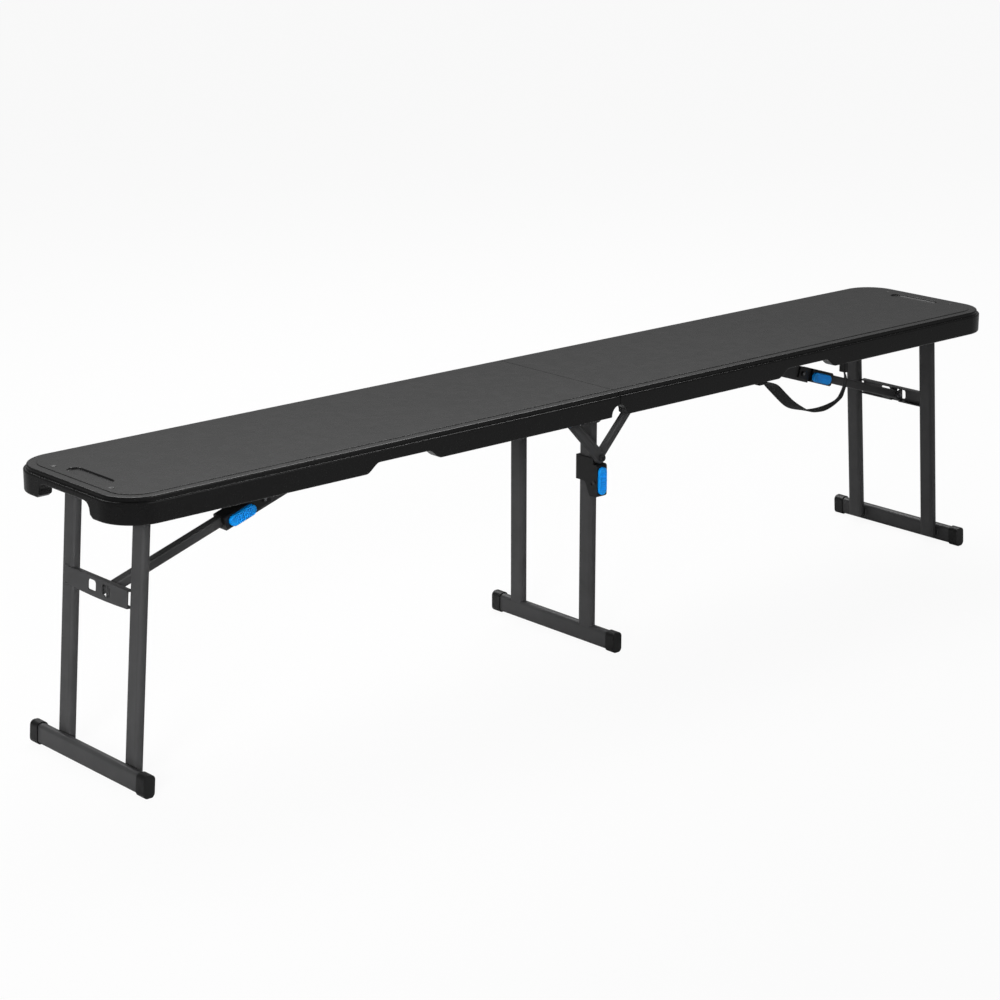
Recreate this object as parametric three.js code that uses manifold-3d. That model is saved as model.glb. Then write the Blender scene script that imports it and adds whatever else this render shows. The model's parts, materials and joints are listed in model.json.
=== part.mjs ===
// Folding bench: a moulded seat in two halves that folds down over a centre leg, with a folding
// end leg and a telescopic brace under each half. Millimetres, +Z up, X along the seat, -Y to the
// front. The origin is on the floor under the seam, halfway across the seat.
import * as THREE from 'three';
import { mergeVertices } from 'three/addons/utils/BufferGeometryUtils.js';
import Module from 'manifold-3d';

const wasm = await Module();
wasm.setup();

// Fits and working values
const GAP = 0.3;
const SLIDING_FIT = 0.5;
const PIN_FIT = 0.3;
const OVERRUN = 5;
const MERGE_TOLERANCE = 1e-4;
const ROUND_STEPS = 12;
const ARC_STEPS = 3;
const SMALL_ARC_STEPS = 2;

// Seat
const SEAT_LENGTH = 1830;
const SEAT_WIDTH = 289;
const SEAT_HEIGHT = 426;
const SKIRT_DEPTH = 39;
const SKIRT_WALL = 22;
const PANEL_THICKNESS = 13;
const CORNER_RADIUS = 60;
const CORNER_STEPS = 10;
const SEAM_GAP = 1;
const LOWER_EDGE_ROUND = 1.5;
const LEDGE_DROP = 7;
const LEDGE_ROUND = 1.2;
const NECK_DEPTH = 4.5;
const SHOULDER_DROP = 2.6;
const SHOULDER_REACH = 2;
const SHOULDER_STEPS = 3;
const RIM_WIDTH = 18;
const PANEL_STEP = 0.8;

// Openings in the seat
const FOOT_NOTCH_FROM_END = 413;
const FOOT_NOTCH_LENGTH = 141;
const FOOT_NOTCH_DEPTH = 14;
const FOOT_NOTCH_SLOPE = 25;
const SEAM_ARCH_RADIUS = 17.5;
const END_ARCH_WIDTH = 140;
const END_ARCH_HEIGHT = 22;
const END_ARCH_RADIUS = 18;
const END_ARCH_SLOPE = 6;
const RECESS_LENGTH = 100;
const RECESS_WIDTH = 23;
const RECESS_DEPTH = 1.5;
const RECESS_FROM_END = 44;
const DIMPLE_RADIUS = 4;
const DIMPLE_DEPTH = 0.7;
const DIMPLE_Y = 72;
const DIMPLE_FROM_END = 31;

// Legs
const HINGE_BELOW_SKIRT = 11;
const UPRIGHT_THICKNESS = 15;
const UPRIGHT_WIDTH = 29;
const UPRIGHT_RADIUS = 6;
const CENTRE_UPRIGHT_Y = { near: 74, far: 89 };
const END_UPRIGHT_Y = 84.5;
const TUBE_WALL = 1.5;
const FOOT_BAR_WIDTH = 15;
const FOOT_BAR_HEIGHT = 30.5;
const FOOT_BAR_RADIUS = 6;
const FOOT_CAP_WIDTH = 19;
const FOOT_CAP_HEIGHT = 34;
const FOOT_CAP_RADIUS = 7.5;
const FOOT_CAP_LENGTH = 18.5;
const FOOT_CAP_WALL = 3;
const FOOT_FLAT = 0.4;
const LEG_SPLAY = THREE.MathUtils.degToRad(4.7);
const LEG_PIVOT_FROM_END = { left: 71, right: 108 };
const LEG_PIVOT_BELOW_CEILING = 13;
const UPRIGHT_END_LIFT = 1.5;
const PIVOT_TUBE_RADIUS = 8;
const PIVOT_TUBE_BORE = 6;
const PIVOT_TUBE_HALF = 105;
const BRACKET_THICKNESS = 3;
const BRACKET_RADIUS = 10;
const BRACKET_FOOT_LENGTH = 44;
const BRACKET_FOOT_WIDTH = 12;
const BRACKET_FOOT_THICKNESS = 2;
const BRACKET_PIN_LENGTH = 14;

// Cross plate between the uprights of an end leg
const CROSS_PLATE_DROP = 139.5;
const CROSS_PLATE_HEIGHT = 26;
const CROSS_PLATE_BELLY = 2;
const CROSS_PLATE_SHEET = 2;
const CROSS_PLATE_FLANGE = 10;
const CROSS_PLATE_LAP = 15;
const CROSS_HOLE_WIDTH = 20;
const CROSS_HOLE_HEIGHT = 17;
const CROSS_HOLE_RADIUS = 5;
const CROSS_HOLE_PITCH = 35.5;
const EAR_RADIUS = 8;
const EAR_THICKNESS = 2;

// Brace from the cross plate to the seat
const BRACE_Y = 10;
const BRACE_PIVOT_INSET = 1;
const BRACE_REACH = 425;
const BRACE_ANCHOR_BELOW_CEILING = 12;
const BAR_SIZE = 15;
const BAR_RADIUS = 3;
const BAR_LENGTH = 268;
const BAR_SOLID_END = 20;
const BRACE_PIN_RADIUS = 3;
const RIVET_HEAD_RADIUS = 5;
const RIVET_HEAD_HEIGHT = 2;
const CHANNEL_SHEET = 2;
const CHANNEL_LENGTH = 204;
const CHANNEL_DEPTH_BELOW = 15.5;
const CHANNEL_NECK_LENGTH = 66;
const CHANNEL_NECK_BELOW = 7.4;
const CHANNEL_TAPER_LENGTH = 34;
const CHANNEL_PIVOT_RADIUS = 4;
const ANCHOR_SHEET = 1.3;
const ANCHOR_EAR = 2;
const ANCHOR_RADIUS = 11;
const ANCHOR_FLANGE = 11;

// Lock at the mouth of the brace channel
const LOCK_LENGTH = 58;
const LOCK_BELOW = 16;
const LOCK_ABOVE = 10.5;
const LOCK_FRONT = 16;
const LOCK_BACK = 10;
const LOCK_CHAMFER = 2.5;
const LEVER_LENGTH = 48;
const LEVER_WIDTH = 17;
const LEVER_THICKNESS = 8;
const LEVER_PROUD = 5;
const LEVER_FROM_CHANNEL = 25;
const LEVER_TRAVEL = 4;
const LEVER_RIBS = 9;
const LEVER_RIB_DEPTH = 1;
const LEVER_EDGE_ROUND = 1.5;
const LOCK_SCREW_BACK = 20;
const LOCK_CHEEK_LENGTH = 30;
const LOCK_CHEEK_THICKNESS = 2.5;

// Springs behind the lever and the button
const SPRING_RADIUS = 2.6;
const SPRING_WIRE = 0.45;
const SPRING_TURNS = 4;
const SPRING_BORE = 3.6;
const SPRING_BORE_DEPTH = 3.6;
const SPRING_SIDES = 5;
const SPRING_STEPS_PER_TURN = 8;

// Struts and the sliding lock on the centre leg
const STRUT_PIVOT_BELOW_HINGE = 64;
const STRUT_TOP_X = 80;
const STRUT_TOP_BELOW_CEILING = 17;
const STRUT_WIDTH = 20;
const STRUT_TOP_WIDTH = 18;
const STRUT_THICKNESS = 4;
const STRUT_POCKET_WIDTH = 11;
const STRUT_POCKET_DEPTH = 1.6;
const STRUT_POCKET_INSET = 17;
const HOUSING_HALF_WIDTH = 10.5;
const HOUSING_BACK_WALL = 2.7;
const HOUSING_FRONT_WALL = 7.2;
const COLLAR_BOTTOM_DROP = 41;
const COLLAR_TOP_DROP = 1;
const NOSE_TOP_DROP = 10.6;
const NOSE_BOTTOM_DROP = 63;
const NOSE_DEPTH = 14;
const LUG_RADIUS = 10;
const STRUT_BOLT_RADIUS = 4;
const STRUT_BOLT_HEAD_RADIUS = 7;
const STRUT_BOLT_HEAD_HEIGHT = 3.6;
const HOUSING_SCREW_RADIUS = 2;
const HOUSING_SCREW_HEAD_RADIUS = 3.5;
const HOUSING_SCREW_HEAD_HEIGHT = 1.2;
const HOUSING_SCREW_LENGTH = 8;
const HOUSING_SCREW_DROP = 43;
const HOUSING_SCREW_INSET = 17;
const BUTTON_LENGTH = 46;
const BUTTON_WIDTH = 18;
const BUTTON_THICKNESS = 11;
const BUTTON_PROUD = 6;
const BUTTON_DROP = 37;

// Seam hinge
const HINGE_ROD_RADIUS = 4;
const HINGE_ROD_HEAD_RADIUS = 6;
const HINGE_ROD_HEAD_HEIGHT = 1;
const HINGE_PLATE_SHEET = 2;
const HINGE_PLATE_CLEARANCE = 1;
const HINGE_EYE_RADIUS = 9;
const HINGE_PLATE_REACH = 52;
const HINGE_PLATE_START = 9;
const HINGE_FLANGE_WIDTH = 14;

// Carry strap under the front edge of the right half
const STRAP_WIDTH = 22;
const STRAP_THICKNESS = 2.4;
const STRAP_BEFORE_NOTCH = 14;
const STRAP_SPAN = 187;
const STRAP_SAG = 69.5;
const STRAP_ROUTE_SHARES = [
  [-0.16, 0], [-0.04, 0.01], [0.01, 0.07], [0.06, 0.27], [0.14, 0.51], [0.31, 0.81], [0.51, 0.99], [0.74, 1],
  [0.94, 0.9], [1, 0.58], [0.985, 0.36], [0.972, 0.247],
];
const STRAP_STEPS = 24;
const STRAP_TWIST = THREE.MathUtils.degToRad(38);
const STRAP_TWIST_START_SHARE = 0.45;
const STRAP_END_SHARE = STRAP_ROUTE_SHARES[STRAP_ROUTE_SHARES.length - 1][0];
const TAB_CLIP_LENGTH = 14;
const TAB_CLIP_WIDTH = 18;
const TAB_CLIP_THICKNESS = 1.5;
const END_CLIP_LENGTH = 9;
const END_CLIP_WIDTH = 14;
const CLIP_RADIUS = 2;

// Places that follow from the sizes above
const HALF_LENGTH = SEAT_LENGTH / 2;
const HALF_WIDTH = SEAT_WIDTH / 2;
const SKIRT_BOTTOM = SEAT_HEIGHT - SKIRT_DEPTH;
const CEILING = SEAT_HEIGHT - PANEL_THICKNESS;
const HINGE_Z = SKIRT_BOTTOM - HINGE_BELOW_SKIRT;
const STRUT_PIVOT_Z = HINGE_Z - STRUT_PIVOT_BELOW_HINGE;
const LEG_PIVOT_Z = CEILING - LEG_PIVOT_BELOW_CEILING;
const LEG_PIVOT_X = {
  left: HALF_LENGTH - LEG_PIVOT_FROM_END.left,
  right: HALF_LENGTH - LEG_PIVOT_FROM_END.right,
};
const FOOT_NOTCH_START = HALF_LENGTH - FOOT_NOTCH_FROM_END - FOOT_NOTCH_LENGTH;
const STRAP_START_X = FOOT_NOTCH_START - STRAP_BEFORE_NOTCH;
const FOOT_CENTRE = FOOT_CAP_HEIGHT / 2 - FOOT_FLAT;
const FRONT = -1;

const BLACK_MOULDING = new THREE.MeshStandardMaterial({ color: 0x232524, roughness: 0.4, metalness: 0 });
const GREY_STEEL = new THREE.MeshStandardMaterial({ color: 0x55565a, roughness: 0.45, metalness: 0.3 });
const BLACK_PLASTIC = new THREE.MeshStandardMaterial({ color: 0x16171a, roughness: 0.5, metalness: 0 });
const BLUE_PLASTIC = new THREE.MeshStandardMaterial({ color: 0x1b7fe0, roughness: 0.4, metalness: 0 });
const BRIGHT_STEEL = new THREE.MeshStandardMaterial({ color: 0x8a8c90, roughness: 0.35, metalness: 0.9 });
const WEBBING = new THREE.MeshStandardMaterial({ color: 0x1c1c1e, roughness: 0.9, metalness: 0 });

const AXIS_X = new THREE.Vector3(1, 0, 0);
const AXIS_Y = new THREE.Vector3(0, 1, 0);
const AXIS_Z = new THREE.Vector3(0, 0, 1);
const TURN = {
  x: new THREE.Matrix4().makeBasis(AXIS_Y, AXIS_Z, AXIS_X),
  y: new THREE.Matrix4().makeBasis(AXIS_X, AXIS_Z, AXIS_Y.clone().negate()),
  z: new THREE.Matrix4(),
};

// A closed three.js geometry as a solid that can be joined and cut
function solid(geometry) {
  const bare = geometry.clone();
  bare.deleteAttribute('normal');
  bare.deleteAttribute('uv');
  const merged = mergeVertices(bare, MERGE_TOLERANCE);
  const vertProperties = new Float32Array(merged.attributes.position.array);
  const triVerts = new Uint32Array(merged.index.array);
  return new wasm.Manifold(new wasm.Mesh({ numProp: 3, vertProperties, triVerts }));
}

// A solid back as a three.js geometry
function geometryOf(body) {
  const mesh = body.getMesh();
  const geometry = new THREE.BufferGeometry();
  geometry.setAttribute('position', new THREE.BufferAttribute(new Float32Array(mesh.vertProperties), 3));
  geometry.setIndex(new THREE.BufferAttribute(new Uint32Array(mesh.triVerts), 1));
  geometry.computeVertexNormals();
  return geometry;
}

function addMesh(parent, name, body, material) {
  const mesh = new THREE.Mesh(geometryOf(body), material);
  mesh.name = name;
  parent.add(mesh);
  return mesh;
}

// A flat shape pushed along one axis. Its own two coordinates are y, z for axis x, x, z for axis y
// and x, y for axis z.
function slab(shape, axis, one, other, steps = ARC_STEPS) {
  const from = Math.min(one, other);
  const to = Math.max(one, other);
  const settings = { depth: to - from, bevelEnabled: false, curveSegments: steps };
  const geometry = new THREE.ExtrudeGeometry(shape, settings);
  geometry.applyMatrix4(TURN[axis]);
  if (axis === 'x') geometry.translate(from, 0, 0);
  if (axis === 'y') geometry.translate(0, to, 0);
  if (axis === 'z') geometry.translate(0, 0, from);
  return solid(geometry);
}

function rod(axis, u, v, radius, one, other, steps = ROUND_STEPS) {
  return slab(circle(u, v, radius), axis, one, other, steps / 2);
}

function circle(u, v, radius) {
  return new THREE.Shape().absarc(u, v, radius, 0, 2 * Math.PI, false);
}

function polygon(points) {
  return new THREE.Shape(points.map(([u, v]) => new THREE.Vector2(u, v)));
}

// A rectangle about u, v with round corners
function rounded(u, v, width, height, radius) {
  const right = u + width / 2 - radius;
  const left = u - width / 2 + radius;
  const top = v + height / 2 - radius;
  const bottom = v - height / 2 + radius;
  const shape = new THREE.Shape();
  shape.absarc(right, top, radius, 0, Math.PI / 2, false);
  shape.absarc(left, top, radius, Math.PI / 2, Math.PI, false);
  shape.absarc(left, bottom, radius, Math.PI, 1.5 * Math.PI, false);
  shape.absarc(right, bottom, radius, 1.5 * Math.PI, 2 * Math.PI, false);
  return shape;
}

function rectangle(u0, u1, v0, v1) {
  return polygon([[u0, v0], [u1, v0], [u1, v1], [u0, v1]]);
}

// A bar with round ends about two points
function link(u0, v0, radius0, u1, v1, radius1) {
  const angle = Math.atan2(v1 - v0, u1 - u0);
  const shape = new THREE.Shape();
  shape.absarc(u0, v0, radius0, angle + Math.PI / 2, angle + 1.5 * Math.PI, false);
  shape.absarc(u1, v1, radius1, angle - Math.PI / 2, angle + Math.PI / 2, false);
  return shape;
}

function hollow(width, height, radius, wall) {
  const shape = rounded(0, 0, width, height, radius);
  shape.holes.push(rounded(0, 0, width - 2 * wall, height - 2 * wall, radius - wall));
  return shape;
}

function box(x0, x1, y0, y1, z0, z1) {
  return slab(rectangle(x0, x1, y0, y1), 'z', z0, z1);
}

// Rings of equal point count, from the bottom up, joined into one closed body
function loft(rings) {
  const count = rings[0].points.length;
  const positions = [];
  for (const ring of rings) {
    for (const point of ring.points) positions.push(point.x, point.y, ring.z);
  }
  const index = [];
  for (let level = 0; level + 1 < rings.length; level += 1) {
    for (let i = 0; i < count; i += 1) {
      const a = level * count + i;
      const b = level * count + ((i + 1) % count);
      index.push(a, b, b + count, a, b + count, a + count);
    }
  }
  const last = (rings.length - 1) * count;
  for (const [a, b, c] of THREE.ShapeUtils.triangulateShape(rings[0].points, [])) index.push(a, c, b);
  for (const [a, b, c] of THREE.ShapeUtils.triangulateShape(rings[rings.length - 1].points, [])) {
    index.push(last + a, last + b, last + c);
  }
  const geometry = new THREE.BufferGeometry();
  geometry.setAttribute('position', new THREE.Float32BufferAttribute(positions, 3));
  geometry.setIndex(index);
  return solid(geometry);
}

// Convex sections of equal point count, each turning left about the way they run, joined into one
// closed body
function skin(sections) {
  const sides = sections[0].length;
  const index = [];
  for (let i = 0; i + 1 < sections.length; i += 1) {
    for (let k = 0; k < sides; k += 1) {
      const a = i * sides + k;
      const b = i * sides + ((k + 1) % sides);
      index.push(a, b, b + sides, a, b + sides, a + sides);
    }
  }
  const last = (sections.length - 1) * sides;
  for (let k = 1; k + 1 < sides; k += 1) {
    index.push(0, k + 1, k);
    index.push(last, last + k, last + k + 1);
  }
  const geometry = new THREE.BufferGeometry();
  geometry.setAttribute('position', new THREE.Float32BufferAttribute(sections.flat(2), 3));
  geometry.setIndex(index);
  return solid(geometry);
}

// Outline of a seat half, drawn in by inset, from start at the seam out to the end of the seat
function seatOutline(inset, start) {
  const radius = CORNER_RADIUS - inset;
  const cornerX = HALF_LENGTH - CORNER_RADIUS;
  const cornerY = HALF_WIDTH - CORNER_RADIUS;
  const points = [new THREE.Vector2(start, inset - HALF_WIDTH)];
  for (const side of [-1, 1]) {
    for (let i = 0; i <= CORNER_STEPS; i += 1) {
      const angle = (Math.PI / 2) * (i / CORNER_STEPS + (side - 1) / 2);
      points.push(new THREE.Vector2(cornerX + radius * Math.cos(angle), side * cornerY + radius * Math.sin(angle)));
    }
  }
  points.push(new THREE.Vector2(start, HALF_WIDTH - inset));
  return points;
}

// Shell of one seat half: skirt, ledge, neck, round shoulder, rim and a raised panel
function seatShell() {
  const start = SEAM_GAP / 2;
  const profile = [
    [LOWER_EDGE_ROUND, SKIRT_DEPTH],
    [0, SKIRT_DEPTH - LOWER_EDGE_ROUND],
    [0, LEDGE_DROP + LEDGE_ROUND],
    [LEDGE_ROUND, LEDGE_DROP],
    [NECK_DEPTH, LEDGE_DROP],
  ];
  for (let i = 0; i <= SHOULDER_STEPS; i += 1) {
    const angle = (Math.PI / 2) * (i / SHOULDER_STEPS);
    const inset = NECK_DEPTH + SHOULDER_REACH * (1 - Math.cos(angle));
    profile.push([inset, PANEL_STEP + (SHOULDER_DROP - PANEL_STEP) * (1 - Math.sin(angle))]);
  }
  profile.push([RIM_WIDTH, PANEL_STEP], [RIM_WIDTH + PANEL_STEP, 0]);
  return loft(profile.map(([inset, drop]) => ({ points: seatOutline(inset, start), z: SEAT_HEIGHT - drop })));
}

// Notch in both skirts that clears the folded foot bar
function footNotch() {
  const from = FOOT_NOTCH_START;
  const to = from + FOOT_NOTCH_LENGTH;
  const slope = FOOT_NOTCH_SLOPE;
  const low = SKIRT_BOTTOM;
  const high = SKIRT_BOTTOM + FOOT_NOTCH_DEPTH;
  const shape = new THREE.Shape();
  shape.moveTo(from, low - OVERRUN);
  shape.lineTo(from, low);
  shape.bezierCurveTo(from + slope / 2, low, from + slope / 2, high, from + slope, high);
  shape.lineTo(to - slope, high);
  shape.bezierCurveTo(to - slope / 2, high, to - slope / 2, low, to, low);
  shape.lineTo(to, low - OVERRUN);
  return slab(shape, 'y', -HALF_WIDTH - OVERRUN, HALF_WIDTH + OVERRUN, CORNER_STEPS);
}

// Hand-hold cut in the end skirt
function endArch() {
  const foot = END_ARCH_WIDTH / 2;
  const head = foot - END_ARCH_SLOPE;
  const top = SKIRT_BOTTOM + END_ARCH_HEIGHT;
  const radius = END_ARCH_RADIUS;
  const shape = new THREE.Shape();
  shape.moveTo(-foot, SKIRT_BOTTOM - OVERRUN);
  shape.lineTo(foot, SKIRT_BOTTOM - OVERRUN);
  shape.lineTo(foot, SKIRT_BOTTOM);
  shape.lineTo(head, top - radius);
  shape.quadraticCurveTo(head, top, head - radius, top);
  shape.lineTo(radius - head, top);
  shape.quadraticCurveTo(-head, top, -head, top - radius);
  shape.lineTo(-foot, SKIRT_BOTTOM);
  return slab(shape, 'x', HALF_LENGTH - SKIRT_WALL - OVERRUN, HALF_LENGTH + OVERRUN, CORNER_STEPS / 2);
}

// One seat half, drawn from the seam at x = 0 out to its end at +X
function seatHalf() {
  const cavity = loft([SKIRT_BOTTOM - OVERRUN, CEILING].map((z) => (
    { points: seatOutline(SKIRT_WALL, -OVERRUN), z }
  )));
  const arch = rod('y', 0, SKIRT_BOTTOM, SEAM_ARCH_RADIUS, -HALF_WIDTH - OVERRUN, HALF_WIDTH + OVERRUN,
    2 * ROUND_STEPS);
  const recessX = HALF_LENGTH - RECESS_FROM_END;
  const recessReach = (RECESS_LENGTH - RECESS_WIDTH) / 2;
  const recessEnd = RECESS_WIDTH / 2;
  const recessShape = link(recessX, -recessReach, recessEnd, recessX, recessReach, recessEnd);
  const recess = slab(recessShape, 'z', SEAT_HEIGHT - RECESS_DEPTH, SEAT_HEIGHT + OVERRUN, ARC_STEPS);
  let half = seatShell().subtract(cavity).subtract(arch).subtract(footNotch()).subtract(endArch());
  half = half.subtract(recess);
  for (const side of [-1, 1]) {
    const dimpleX = HALF_LENGTH - DIMPLE_FROM_END;
    const low = SEAT_HEIGHT - DIMPLE_DEPTH;
    half = half.subtract(rod('z', dimpleX, side * DIMPLE_Y, DIMPLE_RADIUS, low, SEAT_HEIGHT + OVERRUN));
  }
  return half;
}

// Oval tube along z about x, y
function upright(x, y, bottom, top) {
  const tube = slab(hollow(UPRIGHT_THICKNESS, UPRIGHT_WIDTH, UPRIGHT_RADIUS, TUBE_WALL), 'z', bottom, top);
  return tube.translate([x, y, 0]);
}

// Foot bar along y about x, z, open at both ends under its caps
function footBar(x, z) {
  const reach = HALF_WIDTH - FOOT_CAP_WALL - GAP;
  const section = hollow(FOOT_BAR_WIDTH, FOOT_BAR_HEIGHT, FOOT_BAR_RADIUS, TUBE_WALL);
  return slab(section, 'y', -reach, reach).translate([x, 0, z]);
}

// Cap on one end of a foot bar; side is -1 at the front and 1 at the back
function footCap(x, z, side) {
  const outer = rounded(0, 0, FOOT_CAP_WIDTH, FOOT_CAP_HEIGHT, FOOT_CAP_RADIUS);
  const bore = rounded(0, 0, FOOT_BAR_WIDTH + 2 * GAP, FOOT_BAR_HEIGHT + 2 * GAP, FOOT_BAR_RADIUS + GAP);
  const open = HALF_WIDTH - FOOT_CAP_LENGTH;
  const body = slab(outer, 'y', side * open, side * HALF_WIDTH);
  const cut = slab(bore, 'y', side * (open - OVERRUN), side * (HALF_WIDTH - FOOT_CAP_WALL));
  return body.subtract(cut).translate([x, 0, z]);
}

// A coil that starts at y = from, runs towards y = to and is wound about x, z
function spring(x, z, from, to) {
  const turns = SPRING_TURNS;
  const run = to - from;
  const inset = SPRING_WIRE * Math.sign(run);
  const points = [];
  const steps = turns * SPRING_STEPS_PER_TURN;
  for (let i = 0; i <= steps; i += 1) {
    const angle = (2 * Math.PI * i) / SPRING_STEPS_PER_TURN;
    const y = from + inset + (run - 2 * inset) * (i / steps);
    points.push([x + SPRING_RADIUS * Math.cos(angle), y, z + SPRING_RADIUS * Math.sin(angle), angle]);
  }
  return skin(points.map(([px, py, pz, angle]) => {
    const section = [];
    for (let k = 0; k < SPRING_SIDES; k += 1) {
      const turn = (2 * Math.PI * k) / SPRING_SIDES;
      const out = SPRING_WIRE * Math.cos(turn);
      const up = SPRING_WIRE * Math.sin(turn);
      section.push([px + out * Math.cos(angle), py + up, pz + out * Math.sin(angle)]);
    }
    return section;
  }));
}

// A long push button with round ends and ribs across its face. It faces the front, its length
// runs along axis 'x' or 'z', and its front face is at y = face.
function pushButton(u, v, length, width, thickness, face, axis) {
  const reach = (length - width) / 2;
  const along = axis === 'x' ? [reach, 0] : [0, reach];
  const ends = [u - along[0], v - along[1], u + along[0], v + along[1]];
  const full = link(ends[0], ends[1], width / 2, ends[2], ends[3], width / 2);
  const drawn = width / 2 - LEVER_EDGE_ROUND;
  const front = link(ends[0], ends[1], drawn, ends[2], ends[3], drawn);
  const back = face + thickness;
  let body = slab(full, 'y', face + LEVER_EDGE_ROUND, back).add(slab(front, 'y', face, back));
  const pitch = (length - width) / (LEVER_RIBS - 1);
  for (let i = 0; i < LEVER_RIBS; i += 1) {
    const place = (i - (LEVER_RIBS - 1) / 2) * pitch;
    const half = pitch / 4;
    const groove = axis === 'x'
      ? box(u + place - half, u + place + half, face - OVERRUN, face + LEVER_RIB_DEPTH, v - width, v + width)
      : box(u - width, u + width, face - OVERRUN, face + LEVER_RIB_DEPTH, v + place - half, v + place + half);
    body = body.subtract(groove);
  }
  return body.subtract(rod('y', u, v, SPRING_BORE, back - SPRING_BORE_DEPTH, back + OVERRUN));
}

function buttonPocket(u, v, length, width, face, depth, axis) {
  const reach = (length - width) / 2;
  const along = axis === 'x' ? [reach, 0] : [0, reach];
  const radius = width / 2 + SLIDING_FIT;
  const shape = link(u - along[0], v - along[1], radius, u + along[0], v + along[1], radius);
  return slab(shape, 'y', face - OVERRUN, face + depth);
}

// Centre leg
const HINGE_TOP = HINGE_Z + UPRIGHT_THICKNESS / 2;
const FRONT_FACE = -CENTRE_UPRIGHT_Y.near - UPRIGHT_WIDTH / 2;
const ROD_OVERHANG = UPRIGHT_WIDTH / 2 + 2 * (HINGE_PLATE_CLEARANCE + HINGE_PLATE_SHEET) + GAP;

// How far from the middle plane the upright on a side of the centre leg stands
function standOff(side) {
  return side < 0 ? CENTRE_UPRIGHT_Y.near : CENTRE_UPRIGHT_Y.far;
}

function centreUpright(side) {
  const y = side * standOff(side);
  const low = FOOT_CENTRE;
  const fit = rounded(0, FOOT_CENTRE, FOOT_BAR_WIDTH + 2 * GAP, FOOT_BAR_HEIGHT + 2 * GAP, FOOT_BAR_RADIUS + GAP);
  const cope = slab(fit, 'y', -HALF_WIDTH, HALF_WIDTH);
  const half = UPRIGHT_THICKNESS / 2;
  const profile = link(0, HINGE_Z, half, 0, low, half);
  const silhouette = slab(profile, 'y', y - UPRIGHT_WIDTH, y + UPRIGHT_WIDTH, ROUND_STEPS / 2);
  const bore = rod('y', 0, HINGE_Z, HINGE_ROD_RADIUS + PIN_FIT, y - UPRIGHT_WIDTH, y + UPRIGHT_WIDTH);
  return upright(0, y, low, HINGE_TOP).intersect(silhouette).subtract(cope).subtract(bore);
}

function hingeRod() {
  const reach = (side) => standOff(side) + ROD_OVERHANG;
  const rodBody = rod('y', 0, HINGE_Z, HINGE_ROD_RADIUS, -reach(-1), reach(1));
  const head = (side) => rod('y', 0, HINGE_Z, HINGE_ROD_HEAD_RADIUS,
    side * reach(side), side * (reach(side) + HINGE_ROD_HEAD_HEIGHT));
  return rodBody.add(head(-1)).add(head(1));
}

// A hinge plate: an eye on the rod, a web up to the ceiling and a flange screwed against it.
// The plates of the two halves lie side by side on the rod.
function hingePlate(half, side) {
  const step = HINGE_PLATE_CLEARANCE + HINGE_PLATE_SHEET;
  const layer = half < 0 ? 0 : 1;
  const inner = standOff(side) + UPRIGHT_WIDTH / 2 + HINGE_PLATE_CLEARANCE + layer * step;
  const outer = inner + HINGE_PLATE_SHEET;
  const top = CEILING - GAP;
  const web = polygon([
    [half * HINGE_EYE_RADIUS, HINGE_Z],
    [half * HINGE_PLATE_REACH, top - 2 * HINGE_PLATE_SHEET],
    [half * HINGE_PLATE_REACH, top],
    [half * HINGE_PLATE_START, top],
    [-half * HINGE_EYE_RADIUS / 2, HINGE_Z + HINGE_EYE_RADIUS / 2],
  ]);
  const flangeX = [half * (HINGE_PLATE_START + HINGE_PLATE_SHEET), half * HINGE_PLATE_REACH];
  const flangeY = [side * (outer - HINGE_FLANGE_WIDTH), side * outer];
  const flange = box(Math.min(...flangeX), Math.max(...flangeX), Math.min(...flangeY), Math.max(...flangeY),
    top - HINGE_PLATE_SHEET, top);
  const eye = rod('y', 0, HINGE_Z, HINGE_EYE_RADIUS, side * inner, side * outer, 2 * ROUND_STEPS);
  const bore = rod('y', 0, HINGE_Z, HINGE_ROD_RADIUS + PIN_FIT, -HALF_WIDTH, HALF_WIDTH);
  return slab(web, 'y', side * inner, side * outer).add(eye).add(flange).subtract(bore);
}

// Sliding lock on the front upright, with the two struts above it
const LUG_FRONT = FRONT_FACE - HOUSING_FRONT_WALL;
const NOSE_FRONT = LUG_FRONT - NOSE_DEPTH;
const STRUT_BACK = { right: LUG_FRONT - GAP, left: LUG_FRONT - 2 * GAP - STRUT_THICKNESS };
const STRUT_TOP_Z = CEILING - STRUT_TOP_BELOW_CEILING;
const BUTTON_Z = STRUT_PIVOT_Z - BUTTON_DROP;
const BUTTON_FACE = NOSE_FRONT - BUTTON_PROUD;
const BUTTON_BACK = BUTTON_FACE + BUTTON_THICKNESS;
const BUTTON_POCKET_DEPTH = BUTTON_THICKNESS - BUTTON_PROUD + LEVER_TRAVEL + GAP;

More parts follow.
